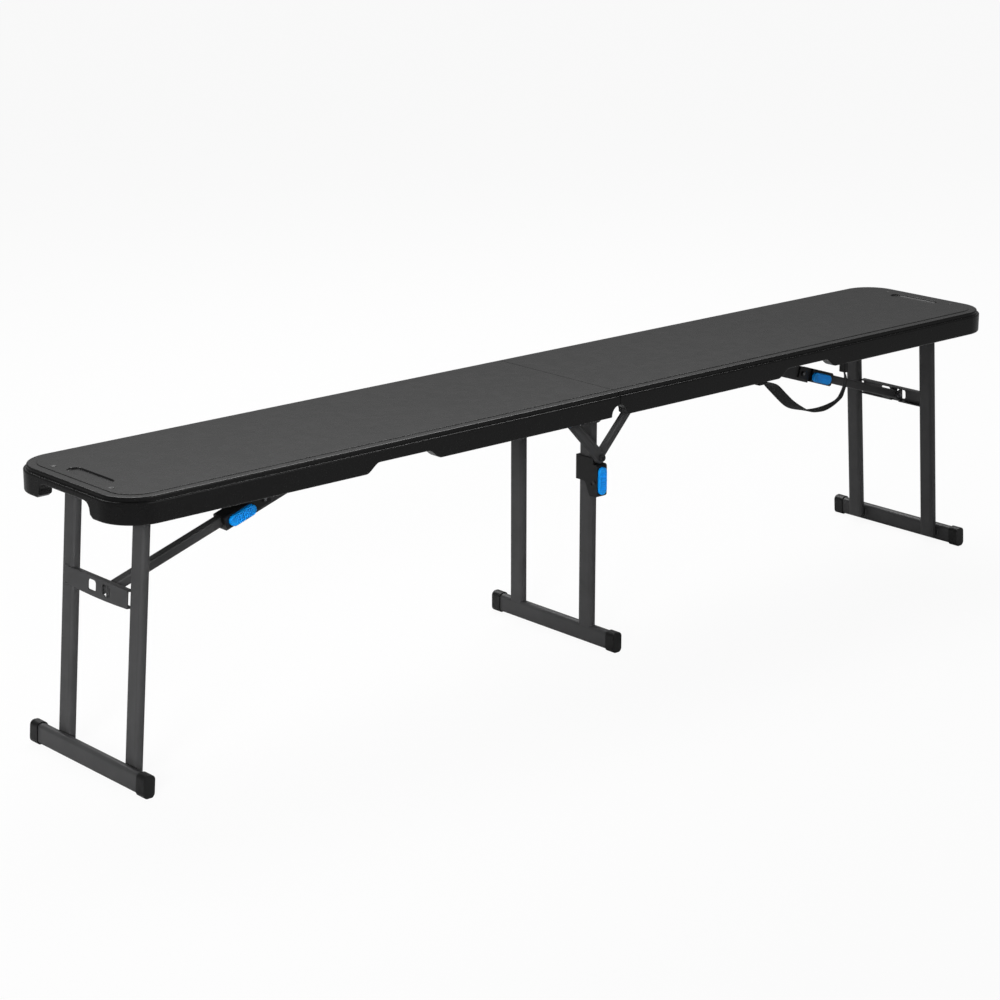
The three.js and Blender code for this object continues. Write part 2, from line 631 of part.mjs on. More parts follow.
function lockHousing() {
  const back = FRONT_FACE + UPRIGHT_WIDTH + HOUSING_BACK_WALL;
  const collarTop = STRUT_PIVOT_Z - COLLAR_TOP_DROP;
  const collarBottom = STRUT_PIVOT_Z - COLLAR_BOTTOM_DROP;
  const noseTop = STRUT_PIVOT_Z - NOSE_TOP_DROP;
  const noseBottom = STRUT_PIVOT_Z - NOSE_BOTTOM_DROP;
  const chin = FRONT_FACE + HOUSING_FRONT_WALL;
  const drop = collarBottom - noseBottom;
  const shape = new THREE.Shape();
  shape.moveTo(back, collarTop);
  shape.lineTo(back, collarBottom);
  shape.lineTo(chin + HOUSING_FRONT_WALL, collarBottom);
  shape.bezierCurveTo(chin, collarBottom, chin, noseBottom + drop / 3, FRONT_FACE, noseBottom);
  shape.lineTo(NOSE_FRONT + HOUSING_BACK_WALL, noseBottom);
  shape.lineTo(NOSE_FRONT, noseBottom + HOUSING_BACK_WALL);
  shape.lineTo(NOSE_FRONT, noseTop - HOUSING_BACK_WALL);
  shape.lineTo(NOSE_FRONT + HOUSING_BACK_WALL, noseTop);
  shape.lineTo(LUG_FRONT, noseTop);
  shape.lineTo(LUG_FRONT, collarTop);
  const block = slab(shape, 'x', -HOUSING_HALF_WIDTH, HOUSING_HALF_WIDTH, CORNER_STEPS);
  const lugBack = FRONT_FACE - SLIDING_FIT;
  const lugShape = link(0, noseTop, LUG_RADIUS, 0, STRUT_PIVOT_Z, LUG_RADIUS);
  const lug = slab(lugShape, 'y', LUG_FRONT, lugBack, ROUND_STEPS / 2);
  const fit = 2 * SLIDING_FIT;
  const slideShape = rounded(0, -CENTRE_UPRIGHT_Y.near, UPRIGHT_THICKNESS + fit, UPRIGHT_WIDTH + fit, UPRIGHT_RADIUS);
  const slide = slab(slideShape, 'z', noseBottom - OVERRUN, STRUT_PIVOT_Z + 2 * LUG_RADIUS);
  const bolt = rod('y', 0, STRUT_PIVOT_Z, STRUT_BOLT_RADIUS + PIN_FIT, NOSE_FRONT, FRONT_FACE + OVERRUN);
  const pocket = buttonPocket(0, BUTTON_Z, BUTTON_LENGTH, BUTTON_WIDTH, NOSE_FRONT, BUTTON_POCKET_DEPTH, 'z');
  const screw = rod('x', housingScrewY(), housingScrewZ(), HOUSING_SCREW_RADIUS + PIN_FIT,
    -HOUSING_HALF_WIDTH - OVERRUN, HOUSING_SCREW_LENGTH - HOUSING_HALF_WIDTH + GAP);
  return block.add(lug).subtract(slide).subtract(bolt).subtract(pocket).subtract(screw);
}

function housingScrewY() {
  return NOSE_FRONT + HOUSING_SCREW_INSET;
}

function housingScrewZ() {
  return STRUT_PIVOT_Z - HOUSING_SCREW_DROP;
}

function housingScrew() {
  const face = -HOUSING_HALF_WIDTH - GAP;
  const shank = rod('x', housingScrewY(), housingScrewZ(), HOUSING_SCREW_RADIUS, face, face + HOUSING_SCREW_LENGTH);
  const head = rod('x', housingScrewY(), housingScrewZ(), HOUSING_SCREW_HEAD_RADIUS,
    face - HOUSING_SCREW_HEAD_HEIGHT, face);
  return shank.add(head);
}

function strut(half, back) {
  const front = back - STRUT_THICKNESS;
  const topX = half * STRUT_TOP_X;
  const length = Math.hypot(STRUT_TOP_X, STRUT_TOP_Z - STRUT_PIVOT_Z);
  const share = STRUT_POCKET_INSET / length;
  const rise = STRUT_TOP_Z - STRUT_PIVOT_Z;
  const blank = link(0, STRUT_PIVOT_Z, STRUT_WIDTH / 2, topX, STRUT_TOP_Z, STRUT_TOP_WIDTH / 2);
  const groove = link(topX * share, STRUT_PIVOT_Z + rise * share, STRUT_POCKET_WIDTH / 2,
    topX * (1 - share), STRUT_TOP_Z - rise * share, STRUT_POCKET_WIDTH / 2);
  const pocket = slab(groove, 'y', front - OVERRUN, front + STRUT_POCKET_DEPTH, ARC_STEPS);
  const bore = rod('y', 0, STRUT_PIVOT_Z, STRUT_BOLT_RADIUS + PIN_FIT, front - OVERRUN, back + OVERRUN);
  return slab(blank, 'y', front, back, ROUND_STEPS / 2).subtract(pocket).subtract(bore);
}

function strutBolt() {
  const face = STRUT_BACK.left - STRUT_THICKNESS - GAP;
  const shank = rod('y', 0, STRUT_PIVOT_Z, STRUT_BOLT_RADIUS, face, FRONT_FACE - SLIDING_FIT);
  const head = rod('y', 0, STRUT_PIVOT_Z, STRUT_BOLT_HEAD_RADIUS, face - STRUT_BOLT_HEAD_HEIGHT, face,
    2 * ROUND_STEPS);
  return shank.add(head);
}

// Saddle under the ceiling with an ear on each side of a link's end and a rivet head on each ear.
// The link turns and drifts between the ears, so no pin crosses them.
function saddle(x, z, nearY, farY, radius) {
  const front = nearY - GAP;
  const back = farY + GAP;
  const top = CEILING - GAP;
  const under = top - ANCHOR_SHEET;
  const ear = link(x, z, radius, x, top - radius, radius);
  const trim = box(x - 2 * radius, x + 2 * radius, front - HALF_WIDTH, back + HALF_WIDTH, z - 2 * radius, top);
  const ears = slab(ear, 'y', front - ANCHOR_EAR, back + ANCHOR_EAR, ROUND_STEPS / 2)
    .subtract(slab(rectangle(x - 2 * radius, x + 2 * radius, z - 2 * radius, under), 'y', front, back));
  const flangeFront = front - ANCHOR_EAR - ANCHOR_FLANGE;
  const flange = box(x - radius, x + radius, flangeFront, back + ANCHOR_EAR + ANCHOR_FLANGE, under, top);
  const heads = [[front - ANCHOR_EAR - RIVET_HEAD_HEIGHT, front - ANCHOR_EAR],
    [back + ANCHOR_EAR, back + ANCHOR_EAR + RIVET_HEAD_HEIGHT]]
    .map(([one, other]) => rod('y', x, z, RIVET_HEAD_RADIUS, one, other));
  return ears.intersect(trim).add(flange).add(heads[0]).add(heads[1]);
}

// End legs. Their frame has its origin at the leg's pivot, x outwards and z up the leg; front is
// the sign of y on the bench's front side in that frame.
const FOOT_BAR_X = UPRIGHT_THICKNESS / 2 + GAP + FOOT_BAR_WIDTH / 2;
const FOOT_BAR_DROP = (LEG_PIVOT_Z + FOOT_BAR_X * Math.sin(LEG_SPLAY) - FOOT_CENTRE) / Math.cos(LEG_SPLAY);
const PLATE_INNER = UPRIGHT_THICKNESS / 2 + GAP;
const PLATE_OUTER = PLATE_INNER + CROSS_PLATE_SHEET;

function endUpright(y) {
  const bottom = -FOOT_BAR_DROP - FOOT_BAR_HEIGHT / 2 + UPRIGHT_END_LIFT;
  const cope = rod('y', 0, 0, PIVOT_TUBE_RADIUS + GAP, y - UPRIGHT_WIDTH, y + UPRIGHT_WIDTH, 2 * ROUND_STEPS);
  return upright(0, y, bottom, -PIVOT_TUBE_BORE / 2).subtract(cope);
}

function endFootCap(side) {
  const cap = footCap(FOOT_BAR_X, -FOOT_BAR_DROP, side);
  const floor = box(-HALF_WIDTH, HALF_WIDTH, -SEAT_WIDTH, SEAT_WIDTH, -SEAT_HEIGHT, 0)
    .translate([0, 0, -LEG_PIVOT_Z])
    .rotate([0, THREE.MathUtils.radToDeg(LEG_SPLAY), 0]);
  return cap.subtract(floor);
}

function pivotTube() {
  const shape = circle(0, 0, PIVOT_TUBE_RADIUS);
  shape.holes.push(circle(0, 0, PIVOT_TUBE_BORE));
  return slab(shape, 'y', -PIVOT_TUBE_HALF, PIVOT_TUBE_HALF, ROUND_STEPS / 2);
}

// Bracket that carries one end of the pivot tube on a stub pin; z is up in the seat's frame
function legBracket(x, side) {
  const inner = PIVOT_TUBE_HALF + GAP;
  const outer = inner + BRACKET_THICKNESS;
  const top = CEILING - GAP;
  const ear = link(x, LEG_PIVOT_Z, BRACKET_RADIUS, x, top - BRACKET_RADIUS, BRACKET_RADIUS);
  const cheek = polygon([[x - BRACKET_RADIUS, LEG_PIVOT_Z], [x + BRACKET_RADIUS, LEG_PIVOT_Z],
    [x + BRACKET_FOOT_LENGTH / 2, top], [x - BRACKET_FOOT_LENGTH / 2, top]]);
  const y0 = side * inner;
  const y1 = side * outer;
  const footY = [y0, side * (inner + BRACKET_FOOT_WIDTH)];
  const foot = box(x - BRACKET_FOOT_LENGTH / 2, x + BRACKET_FOOT_LENGTH / 2, Math.min(...footY), Math.max(...footY),
    top - BRACKET_FOOT_THICKNESS, top);
  const pin = rod('y', x, LEG_PIVOT_Z, PIVOT_TUBE_BORE - PIN_FIT, side * (inner - BRACKET_PIN_LENGTH), y1,
    2 * ROUND_STEPS);
  return slab(cheek, 'y', y0, y1).add(slab(ear, 'y', y0, y1, ROUND_STEPS / 2)).add(foot).add(pin);
}

// Cross plate: a pressed channel that laps one upright, butts the other and has an ear on each
// side of the brace
function crossPlate(front) {
  const inner = END_UPRIGHT_Y - UPRIGHT_WIDTH / 2 - GAP;
  const lapEnd = END_UPRIGHT_Y - UPRIGHT_WIDTH / 2 + CROSS_PLATE_LAP;
  const half = CROSS_PLATE_HEIGHT / 2;
  const belly = half + CROSS_PLATE_BELLY;
  const web = new THREE.Shape();
  web.moveTo(inner, half);
  web.quadraticCurveTo(0, half, -inner, half);
  web.lineTo(half - lapEnd, half);
  web.quadraticCurveTo(-lapEnd, half, -lapEnd, 0);
  web.quadraticCurveTo(-lapEnd, -half, half - lapEnd, -half);
  web.lineTo(-inner, -half);
  web.quadraticCurveTo(0, half - 2 * belly, inner, -half);
  let plate = slab(web, 'x', PLATE_INNER, PLATE_OUTER, CORNER_STEPS / 2);
  const flangeX0 = PLATE_OUTER - CROSS_PLATE_FLANGE;
  for (const side of [-1, 1]) {
    const zs = [side * half, side * (half - CROSS_PLATE_SHEET)];
    plate = plate.add(box(flangeX0, PLATE_OUTER, -inner, inner, Math.min(...zs), Math.max(...zs)));
  }
  for (const y of [-CROSS_HOLE_PITCH / 2, CROSS_HOLE_PITCH / 2]) {
    const hole = rounded(y, 0, CROSS_HOLE_WIDTH, CROSS_HOLE_HEIGHT, CROSS_HOLE_RADIUS);
    plate = plate.subtract(slab(hole, 'x', -HALF_WIDTH, HALF_WIDTH));
  }
  const barY = front * BRACE_Y;
  const room = BAR_SIZE / 2 + GAP;
  const ear = link(-BRACE_PIVOT_INSET, 0, EAR_RADIUS, PLATE_OUTER, 0, half - GAP);
  const earBlock = slab(ear, 'y', barY - room - EAR_THICKNESS, barY + room + EAR_THICKNESS, ROUND_STEPS / 2)
    .intersect(box(-HALF_WIDTH, PLATE_OUTER - GAP, -HALF_WIDTH, HALF_WIDTH, -half, half));
  const roomBox = box(-HALF_WIDTH, HALF_WIDTH, barY - room, barY + room, -HALF_WIDTH, HALF_WIDTH);
  const barWay = box(flangeX0 - OVERRUN, PLATE_INNER, barY - room, barY + room, -half - OVERRUN, 0);
  const bore = rod('y', -BRACE_PIVOT_INSET, 0, BRACE_PIN_RADIUS + PIN_FIT, -HALF_WIDTH, HALF_WIDTH);
  return plate.add(earBlock.subtract(roomBox).subtract(bore)).subtract(barWay).translate([0, 0, -CROSS_PLATE_DROP]);
}

function bracePin(front) {
  const barY = front * BRACE_Y;
  const reach = BAR_SIZE / 2 + GAP + EAR_THICKNESS + GAP;
  const x = -BRACE_PIVOT_INSET;
  const z = -CROSS_PLATE_DROP;
  const shank = rod('y', x, z, BRACE_PIN_RADIUS, barY - reach, barY + reach);
  const headNear = rod('y', x, z, RIVET_HEAD_RADIUS, barY - reach - RIVET_HEAD_HEIGHT, barY - reach);
  const headFar = rod('y', x, z, RIVET_HEAD_RADIUS, barY + reach, barY + reach + RIVET_HEAD_HEIGHT);
  return shank.add(headNear).add(headFar);
}

// Brace pieces. Their frame has its origin at the anchor under the seat and x down the brace.
function braceLine(side) {
  const pivotX = LEG_PIVOT_X[side];
  const along = CROSS_PLATE_DROP;
  const footX = pivotX + along * Math.sin(LEG_SPLAY) - BRACE_PIVOT_INSET * Math.cos(LEG_SPLAY);
  const footZ = LEG_PIVOT_Z - along * Math.cos(LEG_SPLAY) - BRACE_PIVOT_INSET * Math.sin(LEG_SPLAY);
  const anchorX = pivotX - BRACE_REACH;
  const anchorZ = CEILING - BRACE_ANCHOR_BELOW_CEILING;
  const run = footX - anchorX;
  const fall = anchorZ - footZ;
  return { anchorX, anchorZ, length: Math.hypot(run, fall), slope: Math.atan2(fall, run) };
}

function braceBar(length) {
  const inner = length - BAR_LENGTH;
  const section = rounded(0, 0, BAR_SIZE, BAR_SIZE, BAR_RADIUS);
  const bore = BAR_SIZE - 2 * TUBE_WALL;
  const core = rounded(0, 0, bore, bore, BAR_RADIUS - TUBE_WALL);
  const end = rod('y', length, 0, BAR_SIZE / 2, -BAR_SIZE / 2, BAR_SIZE / 2, 2 * ROUND_STEPS);
  const eye = rod('y', length, 0, BRACE_PIN_RADIUS + PIN_FIT, -BAR_SIZE, BAR_SIZE);
  const tube = slab(section, 'x', inner, length).add(end);
  return tube.subtract(slab(core, 'x', inner - OVERRUN, length - BAR_SOLID_END)).subtract(eye);
}

function braceChannel() {
  const half = BAR_SIZE / 2 + SLIDING_FIT;
  const outer = half + CHANNEL_SHEET;
  const neckEnd = CHANNEL_NECK_LENGTH;
  const taperEnd = neckEnd + CHANNEL_TAPER_LENGTH;
  const profile = new THREE.Shape();
  profile.moveTo(CHANNEL_LENGTH, outer);
  profile.lineTo(0, outer);
  profile.absarc(0, 0, outer, Math.PI / 2, 1.5 * Math.PI, false);
  profile.lineTo(outer / 2, -CHANNEL_NECK_BELOW);
  profile.lineTo(neckEnd, -CHANNEL_NECK_BELOW);
  profile.lineTo(taperEnd, -CHANNEL_DEPTH_BELOW);
  profile.lineTo(CHANNEL_LENGTH, -CHANNEL_DEPTH_BELOW);
  const blank = slab(profile, 'y', -outer, outer, ROUND_STEPS / 2);
  const inside = box(-outer - OVERRUN, CHANNEL_LENGTH + OVERRUN, -half, half, -2 * CHANNEL_DEPTH_BELOW, half);
  const pivot = rod('y', 0, 0, CHANNEL_PIVOT_RADIUS, -half - CHANNEL_SHEET / 2, half + CHANNEL_SHEET / 2);
  return blank.subtract(inside).add(pivot).subtract(screwHole());
}

// Side of the channel that the lock's cheek lies on, towards the front
function channelSide() {
  return BAR_SIZE / 2 + SLIDING_FIT + CHANNEL_SHEET;
}

function screwHole() {
  const x = CHANNEL_LENGTH - LOCK_SCREW_BACK;
  return rod('y', x, -CHANNEL_SHEET, HOUSING_SCREW_RADIUS + PIN_FIT, -channelSide() - 2 * OVERRUN, 0);
}

function lockBody() {
  const from = CHANNEL_LENGTH + GAP;
  const to = from + LOCK_LENGTH;
  const section = polygon([
    [-LOCK_FRONT, -LOCK_BELOW + LOCK_CHAMFER], [-LOCK_FRONT + LOCK_CHAMFER, -LOCK_BELOW],
    [LOCK_BACK - LOCK_CHAMFER, -LOCK_BELOW], [LOCK_BACK, -LOCK_BELOW + LOCK_CHAMFER],
    [LOCK_BACK, LOCK_ABOVE - LOCK_CHAMFER], [LOCK_BACK - LOCK_CHAMFER, LOCK_ABOVE],
    [-LOCK_FRONT + LOCK_CHAMFER, LOCK_ABOVE], [-LOCK_FRONT, LOCK_ABOVE - LOCK_CHAMFER],
  ]);
  const way = BAR_SIZE + 2 * SLIDING_FIT;
  const bore = slab(rounded(0, 0, way, way, BAR_RADIUS), 'x', from - OVERRUN, to + OVERRUN);
  const cheekFront = -channelSide() - GAP - LOCK_CHEEK_THICKNESS;
  const cheek = box(CHANNEL_LENGTH - LOCK_CHEEK_LENGTH, from + LOCK_CHAMFER, cheekFront,
    cheekFront + LOCK_CHEEK_THICKNESS, -LOCK_BELOW + LOCK_CHAMFER, LOCK_ABOVE - LOCK_CHAMFER);
  const pocket = buttonPocket(leverX(), leverZ(), LEVER_LENGTH, LEVER_WIDTH, -LOCK_FRONT, leverPocketDepth(), 'x');
  return slab(section, 'x', from, to).add(cheek).subtract(bore).subtract(pocket).subtract(screwHole());
}

function leverX() {
  return CHANNEL_LENGTH + LEVER_FROM_CHANNEL;
}

function leverZ() {
  return (LOCK_ABOVE - LOCK_BELOW) / 2;
}

function leverPocketDepth() {
  return LEVER_THICKNESS - LEVER_PROUD + LEVER_TRAVEL + GAP;
}

function lockScrew() {
  const x = CHANNEL_LENGTH - LOCK_SCREW_BACK;
  const z = -CHANNEL_SHEET;
  const face = -channelSide() - 2 * GAP - LOCK_CHEEK_THICKNESS;
  const shank = rod('y', x, z, HOUSING_SCREW_RADIUS, face, -BAR_SIZE / 2 - SLIDING_FIT);
  return shank.add(rod('y', x, z, HOUSING_SCREW_HEAD_RADIUS, face - RIVET_HEAD_HEIGHT, face));
}

// Carry strap: a flat band from a tab under the skirt, down in a loop and up to its end clip,
// turning part of the way round on the way up
function carryStrap() {
  const high = SKIRT_BOTTOM - GAP - STRAP_THICKNESS / 2;
  const route = STRAP_ROUTE_SHARES.map(([along, down]) => (
    new THREE.Vector2(STRAP_START_X + STRAP_SPAN * along, high - STRAP_SAG * down)
  ));
  const curve = new THREE.SplineCurve(route);
  const sections = [];
  for (let i = 0; i <= STRAP_STEPS; i += 1) {
    const share = i / STRAP_STEPS;
    const place = curve.getPointAt(share);
    const flat = curve.getTangentAt(share);
    const way = new THREE.Vector3(flat.x, 0, flat.y);
    const turn = STRAP_TWIST * THREE.MathUtils.smoothstep(share, STRAP_TWIST_START_SHARE, 1);
    const across = new THREE.Vector3(Math.sin(turn), Math.cos(turn), 0);
    across.addScaledVector(way, -across.dot(way)).normalize();
    const normal = new THREE.Vector3().crossVectors(way, across);
    const centre = new THREE.Vector3(place.x, strapY(), place.y);
    sections.push([[-1, -1], [1, -1], [1, 1], [-1, 1]].map(([side, face]) => centre.clone()
      .addScaledVector(across, (side * STRAP_WIDTH) / 2)
      .addScaledVector(normal, (face * STRAP_THICKNESS) / 2)
      .toArray()));
  }
  return skin(sections);
}

function strapY() {
  return FRONT * (HALF_WIDTH - SKIRT_WALL / 2 - LOWER_EDGE_ROUND / 2);
}

// Flat clip that holds the strap's tab up against the skirt
function tabClip() {
  const first = STRAP_START_X + STRAP_SPAN * STRAP_ROUTE_SHARES[0][0];
  const top = SKIRT_BOTTOM - 2 * GAP - STRAP_THICKNESS;
  const shape = rounded(first + TAB_CLIP_LENGTH / 2, strapY(), TAB_CLIP_LENGTH, TAB_CLIP_WIDTH, CLIP_RADIUS);
  return slab(shape, 'z', top - TAB_CLIP_THICKNESS, top);
}

// Block under the skirt that the strap's other end goes up into
function endClip() {
  const x = STRAP_START_X + STRAP_SPAN * STRAP_END_SHARE;
  const drop = STRAP_SAG * STRAP_ROUTE_SHARES[STRAP_ROUTE_SHARES.length - 1][1];
  const bottom = SKIRT_BOTTOM - drop;
  return slab(rounded(x, strapY(), END_CLIP_LENGTH, END_CLIP_WIDTH, CLIP_RADIUS), 'z', bottom, SKIRT_BOTTOM - GAP);
}

// Assembly
const bench = new THREE.Group();

for (const side of [-1, 1]) {
  const where = side < 0 ? 'near' : 'far';
  addMesh(bench, `centre_upright_${where}`, centreUpright(side), GREY_STEEL);
  const cap = footCap(0, FOOT_CENTRE, side).subtract(box(-HALF_WIDTH, HALF_WIDTH, -SEAT_WIDTH, SEAT_WIDTH,
    -SEAT_HEIGHT, 0));
  addMesh(bench, `centre_foot_cap_${where}`, cap, BLACK_PLASTIC);
  addMesh(bench, `hinge_plate_left_${where}`, hingePlate(-1, side), BRIGHT_STEEL);
  addMesh(bench, `hinge_plate_right_${where}`, hingePlate(1, side), BRIGHT_STEEL);
}
addMesh(bench, 'centre_foot_bar', footBar(0, FOOT_CENTRE), GREY_STEEL);
addMesh(bench, 'hinge_rod', hingeRod(), BRIGHT_STEEL);
addMesh(bench, 'lock_housing', lockHousing(), BLACK_PLASTIC);
addMesh(bench, 'lock_housing_screw', housingScrew(), BRIGHT_STEEL);
addMesh(bench, 'lock_button',
  pushButton(0, BUTTON_Z, BUTTON_LENGTH, BUTTON_WIDTH, BUTTON_THICKNESS, BUTTON_FACE, 'z'), BLUE_PLASTIC);
addMesh(bench, 'lock_spring',
  spring(0, BUTTON_Z, NOSE_FRONT + BUTTON_POCKET_DEPTH - GAP, BUTTON_BACK - SPRING_BORE_DEPTH + GAP), BRIGHT_STEEL);
addMesh(bench, 'strut_bolt', strutBolt(), BRIGHT_STEEL);
addMesh(bench, 'strut_left', strut(-1, STRUT_BACK.left), GREY_STEEL);
addMesh(bench, 'strut_right', strut(1, STRUT_BACK.right), GREY_STEEL);
for (const [half, name] of [[-1, 'left'], [1, 'right']]) {
  const back = STRUT_BACK[name];
  const body = saddle(half * STRUT_TOP_X, STRUT_TOP_Z, back - STRUT_THICKNESS, back, STRUT_TOP_WIDTH / 2);
  const rear = box(-HALF_LENGTH, HALF_LENGTH, SKIRT_WALL + GAP - HALF_WIDTH, HALF_WIDTH, 0, SEAT_HEIGHT);
  addMesh(bench, `strut_anchor_${name}`, body.intersect(rear), BRIGHT_STEEL);
}

for (const name of ['left', 'right']) {
  const half = new THREE.Group();
  half.rotation.z = name === 'left' ? Math.PI : 0;
  bench.add(half);
  const front = name === 'left' ? 1 : -1;
  addMesh(half, `seat_${name}`, seatHalf(), BLACK_MOULDING);

  const pivotX = LEG_PIVOT_X[name];
  const leg = new THREE.Group();
  leg.position.set(pivotX, 0, LEG_PIVOT_Z);
  leg.rotation.y = -LEG_SPLAY;
  half.add(leg);
  for (const side of [-1, 1]) {
    const where = side === front ? 'near' : 'far';
    addMesh(leg, `leg_${name}_upright_${where}`, endUpright(side * END_UPRIGHT_Y), GREY_STEEL);
    addMesh(leg, `leg_${name}_foot_cap_${where}`, endFootCap(side), BLACK_PLASTIC);
    addMesh(half, `leg_${name}_bracket_${where}`, legBracket(pivotX, side), BRIGHT_STEEL);
  }
  addMesh(leg, `leg_${name}_foot_bar`, footBar(FOOT_BAR_X, -FOOT_BAR_DROP), GREY_STEEL);
  addMesh(leg, `leg_${name}_pivot_tube`, pivotTube(), GREY_STEEL);
  addMesh(leg, `leg_${name}_cross_plate`, crossPlate(front), GREY_STEEL);
  addMesh(leg, `brace_${name}_pin`, bracePin(front), BRIGHT_STEEL);

  // Everything on the brace faces the front, so the left one is built as seen from the other side
  const line = braceLine(name);
  const brace = new THREE.Group();
  brace.position.set(line.anchorX, front * BRACE_Y, line.anchorZ);
  brace.rotation.y = line.slope;
  half.add(brace);
  const facing = (body) => (front < 0 ? body : body.mirror([0, 1, 0]));
  addMesh(brace, `brace_${name}_bar`, braceBar(line.length), GREY_STEEL);
  addMesh(brace, `brace_${name}_channel`, facing(braceChannel()), GREY_STEEL);
  addMesh(brace, `brace_${name}_lock_body`, facing(lockBody()), BLACK_PLASTIC);
  addMesh(brace, `brace_${name}_lock_screw`, facing(lockScrew()), BRIGHT_STEEL);
  const face = -LOCK_FRONT - LEVER_PROUD;
  const lever = pushButton(leverX(), leverZ(), LEVER_LENGTH, LEVER_WIDTH, LEVER_THICKNESS, face, 'x');
  addMesh(brace, `brace_${name}_lock_lever`, facing(lever), BLUE_PLASTIC);
  const floor = -LOCK_FRONT + leverPocketDepth() - GAP;
  const coil = spring(leverX(), leverZ(), floor, face + LEVER_THICKNESS - SPRING_BORE_DEPTH + GAP);
  addMesh(brace, `brace_${name}_lock_spring`, facing(coil), BRIGHT_STEEL);
  const side = channelSide();
  const anchor = saddle(line.anchorX, line.anchorZ, front * BRACE_Y - side, front * BRACE_Y + side, ANCHOR_RADIUS);
  addMesh(half, `brace_${name}_anchor`, anchor, BRIGHT_STEEL);
}

addMesh(bench, 'carry_strap', carryStrap(), WEBBING);
addMesh(bench, 'strap_clip_inner', tabClip(), BLACK_PLASTIC);
addMesh(bench, 'strap_clip_outer', endClip(), BLACK_PLASTIC);

export default bench;
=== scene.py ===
# Folding bench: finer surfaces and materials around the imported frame, seen as in the photograph.
# Sizes here are in millimetres and are turned into metres as each mesh is made. The floor, the lamps, the
# camera and the values that say so are in metres.
import json
import math

import bmesh
import bpy
import numpy as np
from mathutils import Matrix, Vector

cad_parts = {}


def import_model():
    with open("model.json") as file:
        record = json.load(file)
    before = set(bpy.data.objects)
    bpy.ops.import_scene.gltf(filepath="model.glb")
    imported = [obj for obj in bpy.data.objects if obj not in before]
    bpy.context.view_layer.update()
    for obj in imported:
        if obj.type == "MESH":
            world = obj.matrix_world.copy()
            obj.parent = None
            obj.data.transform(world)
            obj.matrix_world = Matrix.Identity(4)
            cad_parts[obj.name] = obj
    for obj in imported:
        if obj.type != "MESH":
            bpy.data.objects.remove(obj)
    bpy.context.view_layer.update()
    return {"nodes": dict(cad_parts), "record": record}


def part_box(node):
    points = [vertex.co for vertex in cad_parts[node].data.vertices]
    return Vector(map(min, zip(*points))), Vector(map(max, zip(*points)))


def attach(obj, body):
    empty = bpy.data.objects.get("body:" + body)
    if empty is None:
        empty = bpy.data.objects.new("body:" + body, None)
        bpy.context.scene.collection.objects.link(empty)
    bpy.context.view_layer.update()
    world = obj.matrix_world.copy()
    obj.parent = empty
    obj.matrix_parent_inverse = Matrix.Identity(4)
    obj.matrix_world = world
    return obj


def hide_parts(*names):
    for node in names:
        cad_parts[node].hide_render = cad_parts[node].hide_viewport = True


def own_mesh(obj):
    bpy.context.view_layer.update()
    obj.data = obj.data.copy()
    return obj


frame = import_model()

MM = 0.001

# Seat
SEAT_LENGTH = 1830
SEAT_WIDTH = 289
SEAT_HEIGHT = 426
SKIRT_BOTTOM = 387
SKIRT_WALL = 22
CEILING = 413
CORNER_RADIUS = 60
SEAM_HALF_GAP = 0.5
LIP_RADIUS = 2.6
CEILING_ROUND = 1.5
NOTCH_FROM = 361
NOTCH_TO = 502
NOTCH_DEPTH = 14
NOTCH_SLOPE = 25
SEAM_ARCH_RADIUS = 17.5
END_ARCH_HALF = 70
END_ARCH_TOP_HALF = 64
END_ARCH_HEIGHT = 22
END_ARCH_RADIUS = 18
LEDGE_DROP = 7
LEDGE_ROUND = 2.4
LEDGE_FILLET = 0.7
NECK_DEPTH = 4.5
RIM_ROUND = 2.2
RIM_DROP = 0.8
PANEL_INSET = 19.4
PANEL_ROUND = 0.7
RECESS_X = 871
RECESS_LENGTH = 100
RECESS_WIDTH = 23
RECESS_DEPTH = 2.2
RECESS_EDGE = 1.6
DIMPLE_X = 884
DIMPLE_Y = 72
DIMPLE_RADIUS = 4
DIMPLE_DEPTH = 0.7
PANEL_CORNER_X = SEAT_LENGTH / 2 - CORNER_RADIUS

# Where the seat's points run: the side's plain stretch starts past the seam arch, rows lie at shares of the
# half width, and the fine turns at a corner at shares of its reach
PAST_ARCH = 19
RECESS_ROWS_SHARE = 0.45
DIMPLE_ROWS_SHARES = (0.575, 0.665)
WIDE_ROWS_SHARES = (0.48, 0.52, 0.55, 0.7, 0.74, 0.9, 0.95, 1)
FINE_TURN_SHARES = (0.01, 0.7)
COARSE_STEP = 12

# Carry strap, its centre line in x and z under the front skirt
STRAP_Y = -132.75
STRAP_WIDTH = 21.6
STRAP_THICKNESS = 1.8
STRAP_ROUTE = [
    (317.1, 385.6), (330.5, 385.6), (340, 384), (350, 378.6), (362.8, 369.2), (381, 353.2),
    (399.2, 338.3), (418.7, 327.4), (445, 317.6), (471.6, 314.4), (490.9, 315.7), (510.2, 320.1),
    (525.3, 326.2), (533.2, 336.5), (538.6, 349), (539, 360), (536, 368.6),
]
CLIP_SHIFT = 5

# The strap's two turns about its line, and the shares of its length at which they start, grow, end and fade
STRAP_FIRST_TURN = math.radians(-28)
FIRST_TURN_FROM_SHARE = 0.07
FIRST_TURN_GROW_SHARE = 0.11
FIRST_TURN_TO_SHARE = 0.56
FIRST_TURN_FADE_SHARE = 0.2
STRAP_LAST_TURN = math.radians(-38)
LAST_TURN_FROM_SHARE = 0.62
LAST_TURN_GROW_SHARE = 0.3

# Levers and the lock button
LEVER_SIZE = (48, 17)
LEVER_EDGE = 2.2
LEVER_RIBS = 9
STEPS_PER_RIB = 10
RIB_DEPTH = 1.0
BUTTON_SIZE = (45, 16.5)
BUTTON_SUNK = 6.5

